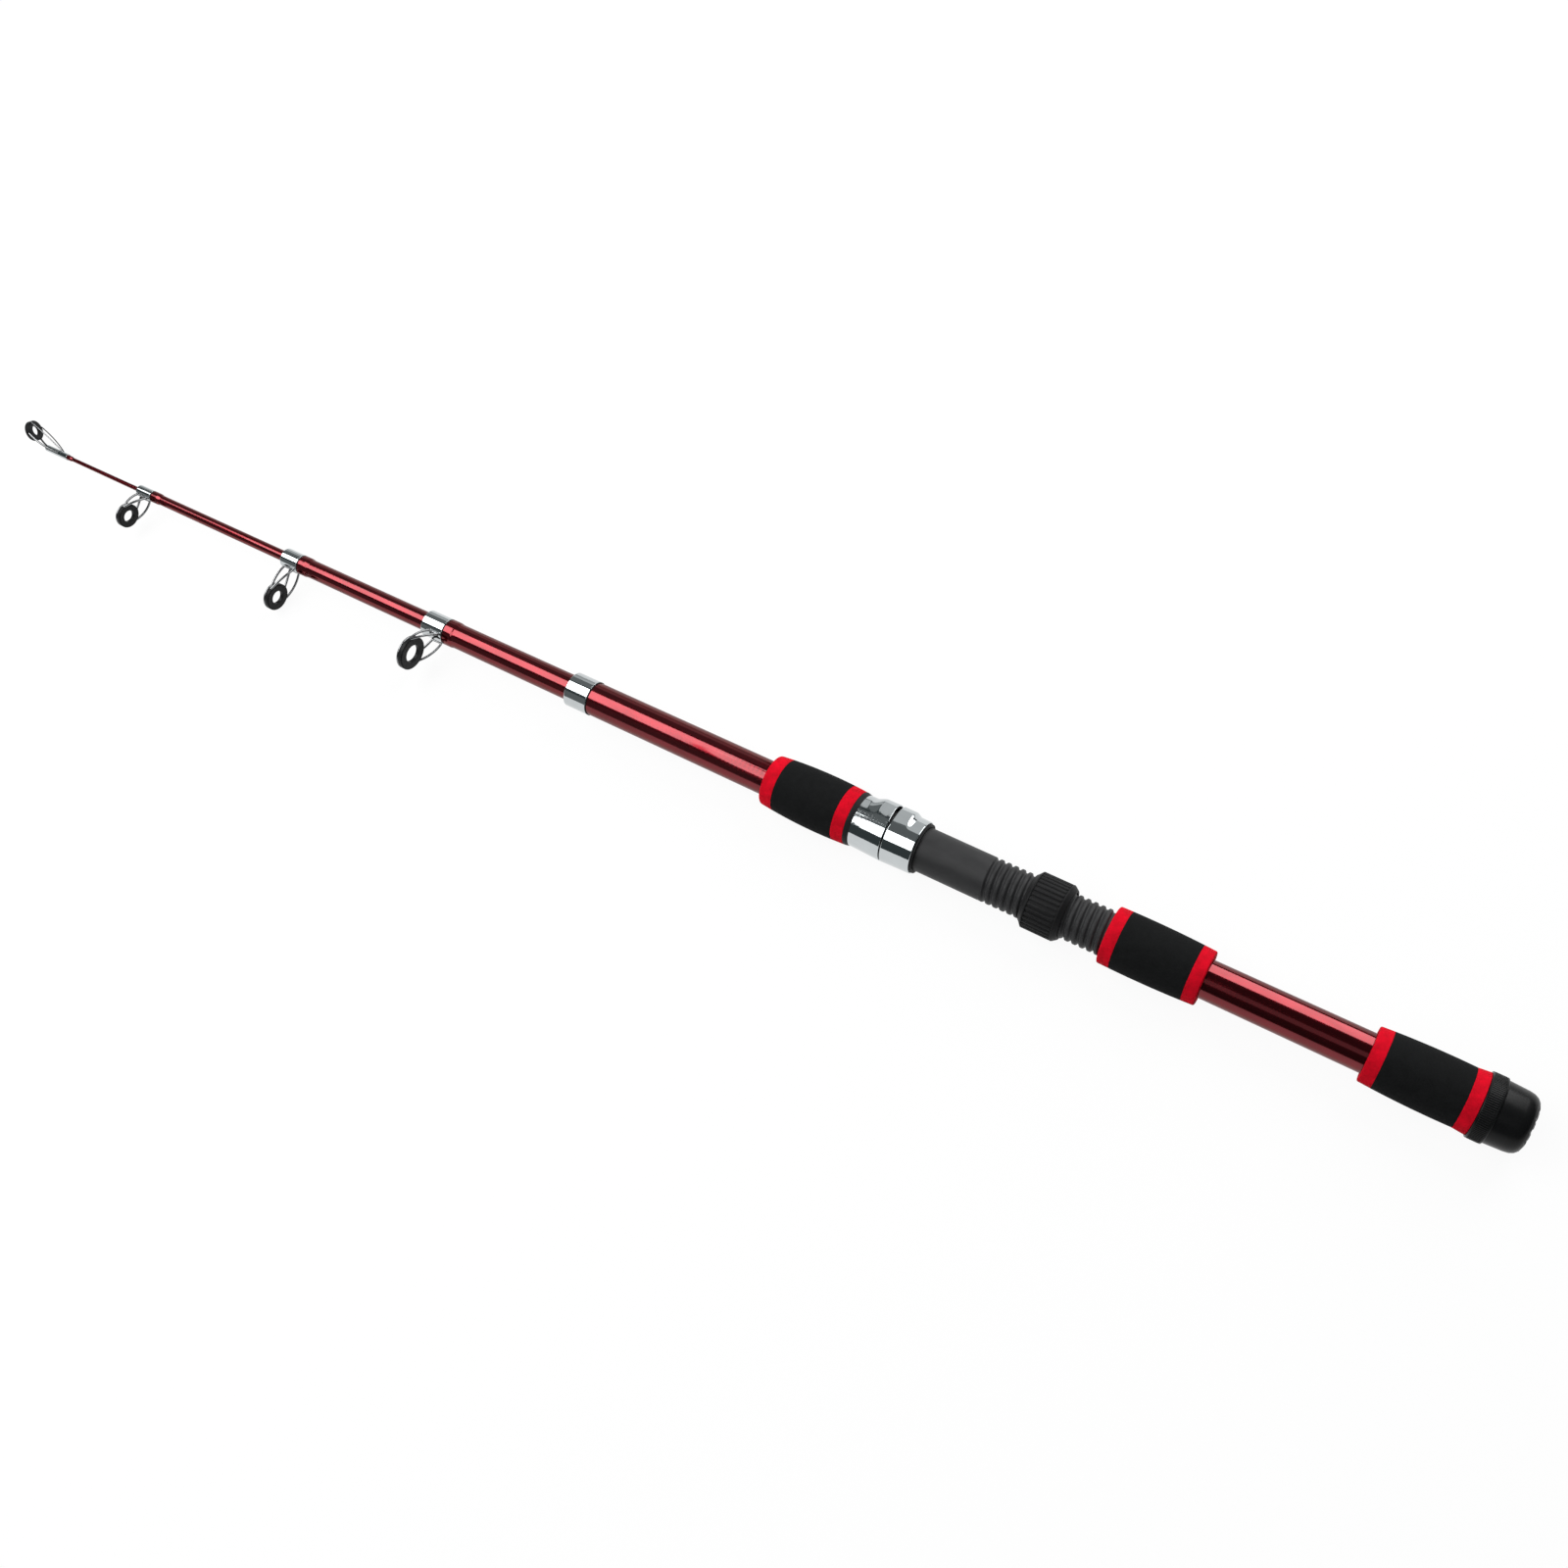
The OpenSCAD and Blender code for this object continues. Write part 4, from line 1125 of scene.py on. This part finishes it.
class ROD_OT_hoods(bpy.types.Operator):
    """Build the fixed and the moving hood as stamped chrome shells"""

    bl_idname = "rod.hoods"
    bl_label = "Hoods"

    def execute(self, context):
        fixed_start, fixed_end = node_span("fixed_hood")
        shell = self.shell("fixed_hood_shell", fixed_start, fixed_end - fixed_start, 1, context)
        dress(shell, "handle", "chrome", "fixed_hood")
        moving_start, moving_end = node_span("moving_hood_shell")
        shell = self.shell("moving_hood_stamping", moving_end, moving_end - moving_start, -1, context)
        dress(shell, "moving_hood", "chrome", "moving_hood_shell")
        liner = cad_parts["moving_hood_liner"]
        liner.material_slots[0].material = finish_named("nut_plastic", context.scene)
        return {"FINISHED"}

    def shell(self, name, mouth, length, way, context):
        """A hood of thin sheet: a tapered sleeve with the pocket pressed out of it."""
        s = context.scene.rod_hoods
        wall = s.wall / MM
        which = 0 if way > 0 else 1
        count = 180
        # The mouth is cut back all round and more at the pocket, and the cut fades out along the hood
        mouth_gap = 0.12
        slot_spread = 1.5 * s.spread
        fade = 2.5
        loops = []
        for run, depth in self.walk(length, wall):
            loop = []
            for k in range(count):
                a = 2 * math.pi * k / count
                r = self.reach(run, a, length, which, s) - depth * wall
                slot = mouth_gap + s.slot / MM * self.bulge(a, slot_spread, s)
                cut = slot * max(0.0, 1 - run / fade)
                loop.append((mouth + way * (run + cut), r * math.cos(a), r * math.sin(a)))
            loops.append(loop)
        if way < 0:
            loops.reverse()
        points, faces = stitched(loops, True)
        return piece_from(name, points, faces, finish_named("chrome_plate", context.scene), crease=60)

    def walk(self, length, wall):
        """Steps of (run, depth) along the hood, round its end, back inside and round the mouth."""
        edge = wall / 2
        hold = 0.06
        count = 44
        turns = 6
        even = [edge + (length - wall) * k / count for k in range(count + 1)]
        bends = [math.pi * k / turns for k in range(1, turns)]
        steps = [(edge, 0.0), (edge + hold, 0.0)]
        steps += [(run, 0.0) for run in even[1:-1]]
        steps += [(length - edge - hold, 0.0), (length - edge, 0.0)]
        steps += [(length - edge + edge * math.sin(b), 0.5 - 0.5 * math.cos(b)) for b in bends]
        steps += [(run, 1.0) for run in reversed(even)]
        steps += [(edge - edge * math.sin(b), 0.5 + 0.5 * math.cos(b)) for b in bends]
        return steps

    def bulge(self, a, spread, s):
        """Share that falls from one at the pocket's middle to none at the spread."""
        turn = math.remainder(a - s.angle, 2 * math.pi)
        if abs(turn) >= spread:
            return 0.0
        return 0.5 + 0.5 * math.cos(math.pi * turn / spread)

    def reach(self, run, a, length, which, s):
        """Outer radius: a tapered sleeve with the pocket raised on it, which slopes off at its end."""
        mouth_r = s.mouth / MM
        far_r = (s.nose, s.rear)[which] / MM
        sleeve = mouth_r + (far_r - mouth_r) * run / length
        top = (s.offset + s.pocket) / MM
        fall = min(1.0, max(0.0, (run - s.roof[which] / MM) / (s.slope[which] / MM)))
        share = 1.0 - fall * fall * (3 - 2 * fall)
        return sleeve + (top - sleeve) * share * self.bulge(a, s.spread, s)


def rib_bar(name, length, width, height, finish):
    """A round-topped bar along X, its foot a little below zero and its top below the height by as much."""
    across = 8
    fullness = 0.6
    # How the bar rises at its ends: place along it and share of its height
    rise = ((0.0, 0.0), (0.08, 0.62), (0.25, 0.9), (0.5, 1.0))
    stations = [(-length / 2 + x * min(1.0, length / 2), share) for x, share in rise]
    stations += [(-x, share) for x, share in reversed(stations)]
    points = []
    for x, share in stations:
        for k in range(across + 1):
            b = math.pi * k / across
            lift = height * share * math.sin(b) ** fullness
            points.append((x, width / 2 * math.cos(b), lift - RIB_FOOT))
    faces = []
    row = across + 1
    last = (len(stations) - 1) * row
    for low in range(0, last, row):
        for k in range(low, low + across):
            faces.append((k, k + 1, k + 1 + row, k + row))
        faces.append((low + across, low, low + row, low + row + across))
    faces.append(tuple(range(across, -1, -1)))
    faces.append(tuple(range(last, last + row)))
    return piece_from(name, points, faces, finish, crease=50)


def ribbed(piece, rib, count, radius, finish):
    """A turned piece with ribs round it; the loose rib is taken away after."""
    grown(piece, "Ribs round the rod", {"Rib": rib, "Count": count, "Radius": radius * MM,
                                        "Finish": finish})
    old = rib.data
    bpy.data.objects.remove(rib)
    bpy.data.meshes.remove(old)
    return piece


def shifted(piece, x):
    """Move a mesh along the rod, in millimetres."""
    piece.data.transform(Matrix.Translation((x * MM, 0, 0)))
    return piece


class ROD_OT_nut(bpy.types.Operator):
    """Build the ribbed nut that locks the moving hood"""

    bl_idname = "rod.nut"
    bl_label = "Nut"

    def execute(self, context):
        s = context.scene.rod_nut
        plastic = finish_named("nut_plastic", context.scene)
        start, end = node_span("seat_nut")
        middle = (start + end) / 2
        half = (end - start) / 2
        top = node_radius("seat_nut")
        barrel = top - s.rib_height / MM
        thread_play = 0.2
        bore = context.scene.rod_seat.diameter / MM / 2 + thread_play
        slope = s.chamfer / MM
        land = 0.5
        inner = half - slope - land
        corners = [(-half, bore, 0.15), (-half, bore + 0.9, 0.25), (-half + slope, top, 0.5),
                   (-inner, top, 0.15), (-inner, barrel, 0.1), (inner, barrel, 0.1), (inner, top, 0.15),
                   (half - slope, top, 0.5), (half - 0.6, bore + 0.7, 0.25), (half, bore + 0.2, 0.15),
                   (half, bore, 0.1)]
        nut = turned_piece("seat_nut_barrel", corners, plastic, count=136)
        lap = 0.1
        rib = rib_bar("nut_rib", 2 * inner + lap, s.rib_width / MM, s.rib_height / MM + RIB_FOOT, plastic)
        ribbed(nut, rib, s.ribs, barrel, plastic)
        dress(shifted(nut, middle), "nut", "seat_plastic", "seat_nut")
        return {"FINISHED"}


class ROD_OT_cap(bpy.types.Operator):
    """Build the butt cap with its notched end, knurled band and plug"""

    bl_idname = "rod.cap"
    bl_label = "Butt cap"

    def execute(self, context):
        s = context.scene.rod_cap
        plastic = finish_named("cap_moulding", context.scene)
        out_r = node_radius("butt_cap")
        grip_gap = 0.1
        rim = node_span("butt_grip_rear_ring")[0] - grip_gap
        tail = node_span("butt_cap")[1]
        band = rim - s.flange / MM
        body_step = 0.75
        body_draft = 0.7
        knurl_depth = 0.2
        body_r = out_r - body_step
        heel_r = body_r - body_draft
        plug = s.plug / MM
        knurl = out_r - knurl_depth
        corner = s.corner / MM
        heel = s.heel / MM
        # The band's plain edges, and where the teeth between them start
        edge = 0.55
        sunk = 0.62
        outline = [(heel, 0.0, 0.0), (heel, heel_r, corner), (band - 0.05, body_r, 0.3),
                   (band, out_r - 0.1, 0.25), (band + edge, out_r, 0.15), (band + sunk, knurl, 0.05),
                   (rim - sunk, knurl, 0.05), (rim - edge, out_r, 0.15), (rim, out_r - 0.15, 0.3),
                   (rim, plug, 0.3), (tail, plug, 0.5), (tail, 0.0, 0.0)]
        profile = self.filled(rounded(outline, False))
        columns_per_notch = 26
        count = s.notches * columns_per_notch
        points, faces = stitched([ring_at(x, r, count) for x, r in profile], False)
        notch = s.notch_radius / MM
        notch_run = 1.4
        inner = heel_r - corner - notch_run
        points = [self.notched(p, heel, inner, s.notches, notch) for p in points]
        cap = piece_from("butt_cap_moulding", points, faces, plastic, crease=50)
        cap = shifted(cap, -(band + rim) / 2)
        tooth_length = rim - band - 1.2
        tooth = rib_bar("cap_tooth", tooth_length, width=0.52, height=0.3, finish=plastic)
        ribbed(cap, tooth, s.teeth, knurl, plastic)
        dress(shifted(cap, (band + rim) / 2), "cap", "cap_plastic", "butt_cap")
        return {"FINISHED"}

    def filled(self, profile):
        """The outline with extra rings over the end face, where the notches are cut."""
        face_depth = 3.5
        face_inner = 5
        dense = []
        for (x0, r0), (x1, r1) in zip(profile, profile[1:]):
            dense.append((x0, r0))
            if max(x0, x1) < face_depth and r1 > face_inner:
                dense += [(x0 + (x1 - x0) * t, r0 + (r1 - r0) * t) for t in (0.25, 0.5, 0.75)]
        dense.append(profile[-1])
        return dense

    def notched(self, point, heel, inner, notches, radius):
        """A point of the cap's end, pushed in where a notch crosses the rim."""
        x, y, z = point
        r = math.hypot(y, z)
        if x > heel + radius or r < inner:
            return point
        step = 2 * math.pi / notches
        side = r * math.sin(math.remainder(math.atan2(z, y), step))
        if abs(side) >= radius:
            return point
        run_in = 0.8
        ease = min(1.0, (r - inner) / run_in)
        return (max(x, heel + ease * math.sqrt(radius * radius - side * side)), y, z)


# Line guides


def arc_points(start, middle, end, count):
    """Points on the round arc through three points."""
    u = middle - start
    v = end - start
    w = u.cross(v)
    centre = start + (u.length_squared * v - v.length_squared * u).cross(w) / (2 * w.length_squared)
    radius = (start - centre).length
    e1 = (start - centre) / radius
    e2 = w.normalized().cross(e1)
    sweep = math.atan2((end - centre).dot(e2), (end - centre).dot(e1))
    if sweep < 0:
        sweep += 2 * math.pi
    turns = [sweep * k / count for k in range(count + 1)]
    return [centre + radius * (math.cos(t) * e1 + math.sin(t) * e2) for t in turns]


def wire_piece(name, paths, radius, finish, closed=False):
    """Round wire along one or more paths of points, each closed to a loop or open."""
    points = []
    edges = []
    for path in paths:
        first = len(points)
        points.extend(tuple(c * MM for c in p) for p in path)
        edges.extend((first + k, first + k + 1) for k in range(len(path) - 1))
        if closed:
            edges.append((first + len(path) - 1, first))
    mesh = bpy.data.meshes.new(name)
    mesh.from_pydata(points, edges, [])
    piece = bpy.data.objects.new(name, mesh)
    bpy.context.scene.collection.objects.link(piece)
    grown(piece, "Guide wire", {"Radius": radius * MM, "Finish": finish}, crease=60)
    return piece


def guide_ring(name, hole, out, thick, finish):
    """A thick ring with a straight bore and eased edges, its axis along X."""
    half = thick / 2
    # The most that the eased edge takes of the ring's face, and the straight bore's share of its thickness
    edge_most = 0.4
    edge_share = 0.3
    bore_share = 0.88
    ease = min(edge_most, (out - hole) * edge_share)
    bore = half * bore_share
    corners = [(-half, hole + ease, 0.2), (-half, out, 0.2), (half, out, 0.2), (half, hole + ease, 0.2),
               (bore, hole, 0.15), (-bore, hole, 0.15)]
    return turned_piece(name, corners, finish, count=72)


def guide_band(name, out, ahead, finish):
    """The thin seat that holds a ring and reaches ahead of it to the wire loop, its axis along X."""
    inner = out + GLUE
    outer = inner + RING_SEAT
    back = -0.7
    corners = [(back, inner, 0.05), (back, outer, 0.15), (ahead, outer, 0.15), (ahead, inner, 0.05)]
    return turned_piece(name, corners, finish, count=72)


def line_ring(name, hole, out, thick, place, finish):
    """A line ring in its seat, put in its place."""
    ring = guide_ring(f"{name}_insert", hole, out, thick, finish)
    band = guide_band(f"{name}_band", out, thick / 2, finish)
    ring = merge_pieces(f"{name}_line_ring", [ring, band])
    ring.data.transform(place)
    return ring


def ring_loop(name, out, ahead, wire_r, place, finish):
    """The wire loop that lies against a line ring, put in its place."""
    loop = wire_piece(f"{name}_loop", [loop_path(out - LOOP_SINK, ahead)], wire_r, finish, True)
    loop.data.transform(place)
    return loop


def loop_path(radius, x):
    """A round path about the X axis."""
    count = 56
    turns = [2 * math.pi * k / count for k in range(count)]
    return [Vector((x, radius * math.cos(t), radius * math.sin(t))) for t in turns]


def mirrored(points):
    """The same points on the other side of the guide's middle plane."""
    return [Vector((p.x, p.y, -p.z)) for p in points]


class ROD_OT_guides(bpy.types.Operator):
    """Build the three wire guides with their rings"""

    bl_idname = "rod.guides"
    bl_label = "Guides"

    def execute(self, context):
        s = context.scene.rod_guides
        steel = finish_named("wire_steel", context.scene)
        ceramic = finish_named("black_ceramic", context.scene)
        # Where the front and rear wires land behind the collar's front, and half the width between them
        feet = {"section_4": (5.2, 10.5, 3.4), "section_3": (3.0, 8.6, 2.4), "section_2": (1.4, 7.8, 1.5)}
        wire_r = s.wire / MM / 2
        ahead = s.thickness / MM / 2 + GLUE + wire_r
        for i, name in enumerate(SECTIONS):
            front = node_span(f"{name}_collar")[1]
            foot_r = node_radius(f"{name}_collar")
            low, high = node_span(f"{name}_ring")
            middle = (low + high) / 2
            out = s.ring[i] / MM / 2
            hole = s.hole[i] / MM / 2
            height = s.height[i] / MM
            place = Matrix.Rotation(s.roll[i], 4, "X") @ Matrix.Translation((middle * MM, height * MM, 0))
            ring = line_ring(name, hole, out, s.thickness / MM, place, ceramic)
            dress(ring, name, "ring_ceramic", f"{name}_ring")
            loop = ring_loop(name, out, ahead, wire_r, place, steel)
            paths = self.sides(middle, height, out, ahead, front, foot_r, feet[name], wire_r)
            wires = wire_piece(f"{name}_wires", paths, wire_r, steel)
            wires.data.transform(Matrix.Rotation(s.roll[i], 4, "X"))
            guide = merge_pieces(f"{name}_guide_frame", [loop, wires])
            dress(guide, name, "chrome", f"{name}_frame")
        return {"FINISHED"}

    def sides(self, middle, height, out, ahead, front, foot_r, foot, wire_r):
        """Paths of the two side wires: from the loop down to the collar, along it and back up."""
        front_back, rear_back, width = foot
        seat_share = 0.55
        seat = foot_r + wire_r * seat_share
        foot_h = math.sqrt(seat * seat - width * width)
        front_foot = Vector((front - front_back, foot_h, width))
        rear_foot = Vector((front - rear_back, foot_h, width))
        front_turn = math.radians(50)
        rear_turn = math.radians(74)
        rear_set = 0.2
        front_end = self.on_ring(middle + ahead, height, out - LOOP_SINK, front_turn)
        rear_end = self.on_ring(middle - rear_set, height, out + GLUE + RING_SEAT, rear_turn)
        # How far the middle of each wire bows out of the straight line
        front_bow = Vector((0.3, 0, 0.6))
        rear_bow = Vector((-0.4, 0, 1.0))
        up = arc_points(front_end, front_foot.lerp(front_end, 0.5) + front_bow, front_foot, count=18)
        down = arc_points(rear_foot, rear_foot.lerp(rear_end, 0.5) + rear_bow, rear_end, count=18)
        near = up + down
        return [near, mirrored(near)]

    def on_ring(self, x, height, radius, turn):
        """A point of a circle round the ring's middle, turned sideways from its lowest point."""
        return Vector((x, height - radius * math.cos(turn), radius * math.sin(turn)))


class ROD_OT_tip_top(bpy.types.Operator):
    """Build the tip-top: its tube, side wires, braces and ring"""

    bl_idname = "rod.tip_top"
    bl_label = "Tip-top"

    def execute(self, context):
        s = context.scene.rod_tip_top
        chrome = finish_named("chrome_plate", context.scene)
        steel = finish_named("wire_steel", context.scene)
        ceramic = finish_named("black_ceramic", context.scene)
        start, end = node_span("tip_top_tube")
        tube_r = node_radius("tip_top_tube")
        bore = context.scene.rod_blanks.tip / MM / 2 + 0.1
        plug = 1.9
        tube = [(start, bore, 0.05), (start, tube_r, 0.15), (end, tube_r, 0.5), (end, 0.0, 0.0),
                (end - plug, 0.0, 0.0), (end - plug, bore, 0.0)]
        ferrule = turned_piece("tip_top_ferrule", tube, chrome, count=48)
        dress(ferrule, "tip", "chrome", "tip_top_tube")
        out = s.ring / MM / 2
        centre = Vector((end + s.ahead / MM, s.height / MM, 0))
        roll = Matrix.Rotation(s.roll, 4, "X")
        place = roll @ Matrix.Translation(centre * MM) @ Matrix.Rotation(-s.lean, 4, "Z")
        guides = context.scene.rod_guides
        loop_r = guides.wire / MM / 2
        ahead = guides.thickness / MM / 2 + GLUE + loop_r
        ring = line_ring("tip", s.hole / MM / 2, out, guides.thickness / MM, place, ceramic)
        dress(ring, "tip", "ring_ceramic", "tip_ring")
        loop = ring_loop("tip", out, ahead, loop_r, place, ceramic)
        sides, braces = self.paths(centre, out, end, tube_r, s)
        wires = wire_piece("tip_wires", sides, s.wire / MM / 2, steel)
        thin = wire_piece("tip_braces", braces, s.brace / MM / 2, steel)
        wires.data.transform(roll)
        thin.data.transform(roll)
        frame_piece = merge_pieces("tip_top_wire_frame", [loop, wires, thin])
        dress(frame_piece, "tip", "chrome", "tip_top_frame")
        return {"FINISHED"}

    def paths(self, centre, out, end, tube_r, s):
        """Paths of the side wires and of the braces, each with its mirror image."""
        reach = out + GLUE + RING_SEAT
        lean = s.lean
        up = Vector((math.sin(lean), math.cos(lean), 0))
        ahead = Vector((math.cos(lean), -math.sin(lean), 0))
        side = Vector((0, 0, 1))
        # Where a side wire and a brace meet the ring's seat
        low_turn = math.radians(52)
        low = centre - reach * math.cos(low_turn) * up + reach * math.sin(low_turn) * side
        high_turn = math.radians(50)
        brace_sink = 0.15
        brace_back = 0.75
        top = reach - brace_sink
        high = centre + top * math.cos(high_turn) * up + top * math.sin(high_turn) * side
        high -= brace_back * ahead
        # Where a side wire starts on the tube and bends away from it, and where a brace starts
        foot = Vector((end - 10, 0.2, tube_r + 0.25))
        bend = Vector((end + 1.5, 0.4, tube_r + 1.05))
        rest = Vector((end - 11, tube_r - 0.2, 0.5))
        wire = arc_points(foot, bend, low, count=20)
        brace_bow = Vector((0, 0.6, 0.6))
        brace = arc_points(rest, rest.lerp(high, 0.5) + brace_bow, high, count=20)
        return [wire, mirrored(wire)], [brace, mirrored(brace)]


class ROD_OT_inner_parts(bpy.types.Operator):
    """Give the parts inside the handle their finishes"""

    bl_idname = "rod.inner_parts"
    bl_label = "Inner parts"

    def execute(self, context):
        finishes = {"butt_insert": "cap_moulding", "cap_buffer": "pressed_cork",
                    "seat_arbor_front": "pressed_cork", "seat_arbor_rear": "pressed_cork"}
        for node, finish in finishes.items():
            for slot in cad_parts[node].material_slots:
                slot.material = finish_named(finish, context.scene)
        return {"FINISHED"}


# Stage


def facing(eye, aim, up):
    """Place and turn of a camera or lamp at eye that looks at aim."""
    back = (Vector(eye) - Vector(aim)).normalized()
    right = Vector(up).cross(back).normalized()
    top = back.cross(right)
    turn = Matrix((right, top, back)).transposed()
    return Matrix.Translation(Vector(eye)) @ turn.to_4x4()


def soft_box(name, near, far, distance, width, power):
    """A long lamp over the rod, between two ends of (x, angle from +Y towards +Z in degrees)."""
    ends = []
    for x, angle in (near, far):
        turn = math.radians(angle)
        ends.append(Vector((x, distance * math.cos(turn), distance * math.sin(turn))))
    middle = (ends[0] + ends[1]) / 2
    along = (ends[1] - ends[0]).normalized()
    lamp = bpy.data.lights.new(name, "AREA")
    lamp.shape = "RECTANGLE"
    lamp.size = (ends[1] - ends[0]).length
    lamp.size_y = width
    lamp.energy = power
    holder = bpy.data.objects.new(name, lamp)
    holder.visible_camera = False
    bpy.context.scene.collection.objects.link(holder)
    aim = Vector((middle.x, 0, 0))
    holder.matrix_world = facing(middle, aim, (middle - aim).cross(along))
    return holder


def floor_finish(white):
    """Pale floor: it takes the shadow, and the camera and mirrors see it near white."""
    finish, tree, shader, place = new_finish("pale_floor")
    grain = noise_of(tree, place, scale=40, detail=3)
    feed(tree, shader, {
        "Base Color": ramp_of(tree, grain, 0.2, 0.8, (0.86, 0.86, 0.86), (0.88, 0.88, 0.88)),
        "Roughness": 0.9,
        "Specular IOR Level": 0.1,
    })
    glow = node_of(tree, "ShaderNodeEmission", {"Strength": 1.0})
    ray = node_of(tree, "ShaderNodeLightPath")
    seen = math_node(tree, "ADD", ray.outputs["Is Camera Ray"], ray.outputs["Is Glossy Ray"])
    seen = math_node(tree, "ADD", seen, ray.outputs["Is Transmission Ray"])
    share = math_node(tree, "MULTIPLY", math_node(tree, "MINIMUM", seen, 1.0), white)
    mix = node_of(tree, "ShaderNodeMixShader", {
        "Fac": share, 1: shader.outputs["BSDF"], 2: glow.outputs["Emission"]})
    output = [n for n in tree.nodes if n.type == "OUTPUT_MATERIAL"][0]
    feed(tree, output, {"Surface": mix.outputs["Shader"]})
    return finish


class ROD_OT_stage(bpy.types.Operator):
    """Set the camera, the floor, the world and the soft boxes"""

    bl_idname = "rod.stage"
    bl_label = "Stage"

    def execute(self, context):
        scene = context.scene
        s = scene.rod_stage
        camera = bpy.data.cameras.new("photo_camera")
        camera.lens = s.lens
        camera.sensor_width = 36.0
        camera.clip_end = 100.0
        holder = bpy.data.objects.new("photo_camera", camera)
        scene.collection.objects.link(holder)
        holder.matrix_world = facing(s.eye, s.aim, s.up)
        scene.camera = holder
        half = 30.0 / MM
        height = s.floor / MM
        corners = [(-half, -half, height), (half, -half, height),
                   (half, half, height), (-half, half, height)]
        floor = piece_from("floor", corners, [(0, 1, 2, 3)], floor_finish(s.floor_white))
        # Each soft box: its near and far end as (x, angle round the rod), its width and its power
        boxes = {
            "key_box": ((0.86, 81), (1.63, 86), 1.15, s.key_power),
            "near_box": ((0.765, 74), (0.86, 74), 0.93, s.near_power),
            "far_box": ((1.63, 86), (1.87, 87), 0.55, s.far_power),
            "hood_box": ((0.33, 61), (0.75, 61), 0.85, s.hood_power),
            "window_box": ((-0.35, 142), (0.35, 142), 1.15, s.window_power),
            "fill_panel": ((0.36, 148), (0.75, 148), 1.5, s.fill_power),
            "brow_panel": ((0.36, 100), (0.75, 100), 0.69, s.brow_power),
            "front_panel": ((0.78, 20), (2.20, 20), 0.9, s.front_power),
            "side_panel": ((-0.40, 57), (0.31, 57), 0.5, s.side_power),
            "back_panel": ((0.78, 141), (2.20, 141), 1.1, s.back_power),
            "rim_panel": ((0.78, 166), (2.20, 166), 0.69, s.rim_power),
        }
        distance = 1.2
        for name, (near, far, width, power) in boxes.items():
            soft_box(name, near, far, distance, width, power)
        world = bpy.data.worlds.new("studio")
        world.use_nodes = True
        sky = world.node_tree.nodes["Background"]
        feed(world.node_tree, sky, {"Color": (0.8, 0.97, 1.0, 1.0), "Strength": 0.06})
        scene.world = world
        scene.view_settings.view_transform = "Standard"
        return {"FINISHED"}


class ROD_PT_panel(bpy.types.Panel):
    """The rod's pieces, in the order they are built"""

    bl_idname = "ROD_PT_panel"
    bl_label = "Spinning Rod"
    bl_space_type = "VIEW_3D"
    bl_region_type = "UI"
    bl_category = "Spinning Rod"

    def draw(self, context):
        column = self.layout.column(align=True)
        for operator in OPERATORS:
            column.operator(operator.bl_idname)


SETTINGS = {
    "rod_blanks": BlankSettings,
    "rod_collars": CollarSettings,
    "rod_grips": GripSettings,
    "rod_seat": SeatSettings,
    "rod_hoods": HoodSettings,
    "rod_nut": NutSettings,
    "rod_cap": CapSettings,
    "rod_guides": GuideSettings,
    "rod_tip_top": TipTopSettings,
    "rod_stage": StageSettings,
}
OPERATORS = [ROD_OT_blanks, ROD_OT_collars, ROD_OT_grips, ROD_OT_seat, ROD_OT_hoods, ROD_OT_nut,
             ROD_OT_cap, ROD_OT_guides, ROD_OT_tip_top, ROD_OT_inner_parts, ROD_OT_stage]


def register():
    """Register the settings, the operators and the panel."""
    for name, group in SETTINGS.items():
        bpy.utils.register_class(group)
        setattr(bpy.types.Scene, name, bpy.props.PointerProperty(type=group))
    for operator in OPERATORS:
        bpy.utils.register_class(operator)
    bpy.utils.register_class(ROD_PT_panel)


def unregister():
    """Take everything out again."""
    bpy.utils.unregister_class(ROD_PT_panel)
    for operator in reversed(OPERATORS):
        bpy.utils.unregister_class(operator)
    for name, group in SETTINGS.items():
        delattr(bpy.types.Scene, name)
        bpy.utils.unregister_class(group)


def main():
    """Build every piece and the stage."""
    register()
    bpy.ops.rod.blanks()
    bpy.ops.rod.collars()
    bpy.ops.rod.grips()
    bpy.ops.rod.seat()
    bpy.ops.rod.hoods()
    bpy.ops.rod.nut()
    bpy.ops.rod.cap()
    bpy.ops.rod.guides()
    bpy.ops.rod.tip_top()
    bpy.ops.rod.inner_parts()
    bpy.ops.rod.stage()


if __name__ == "__main__":
    main()
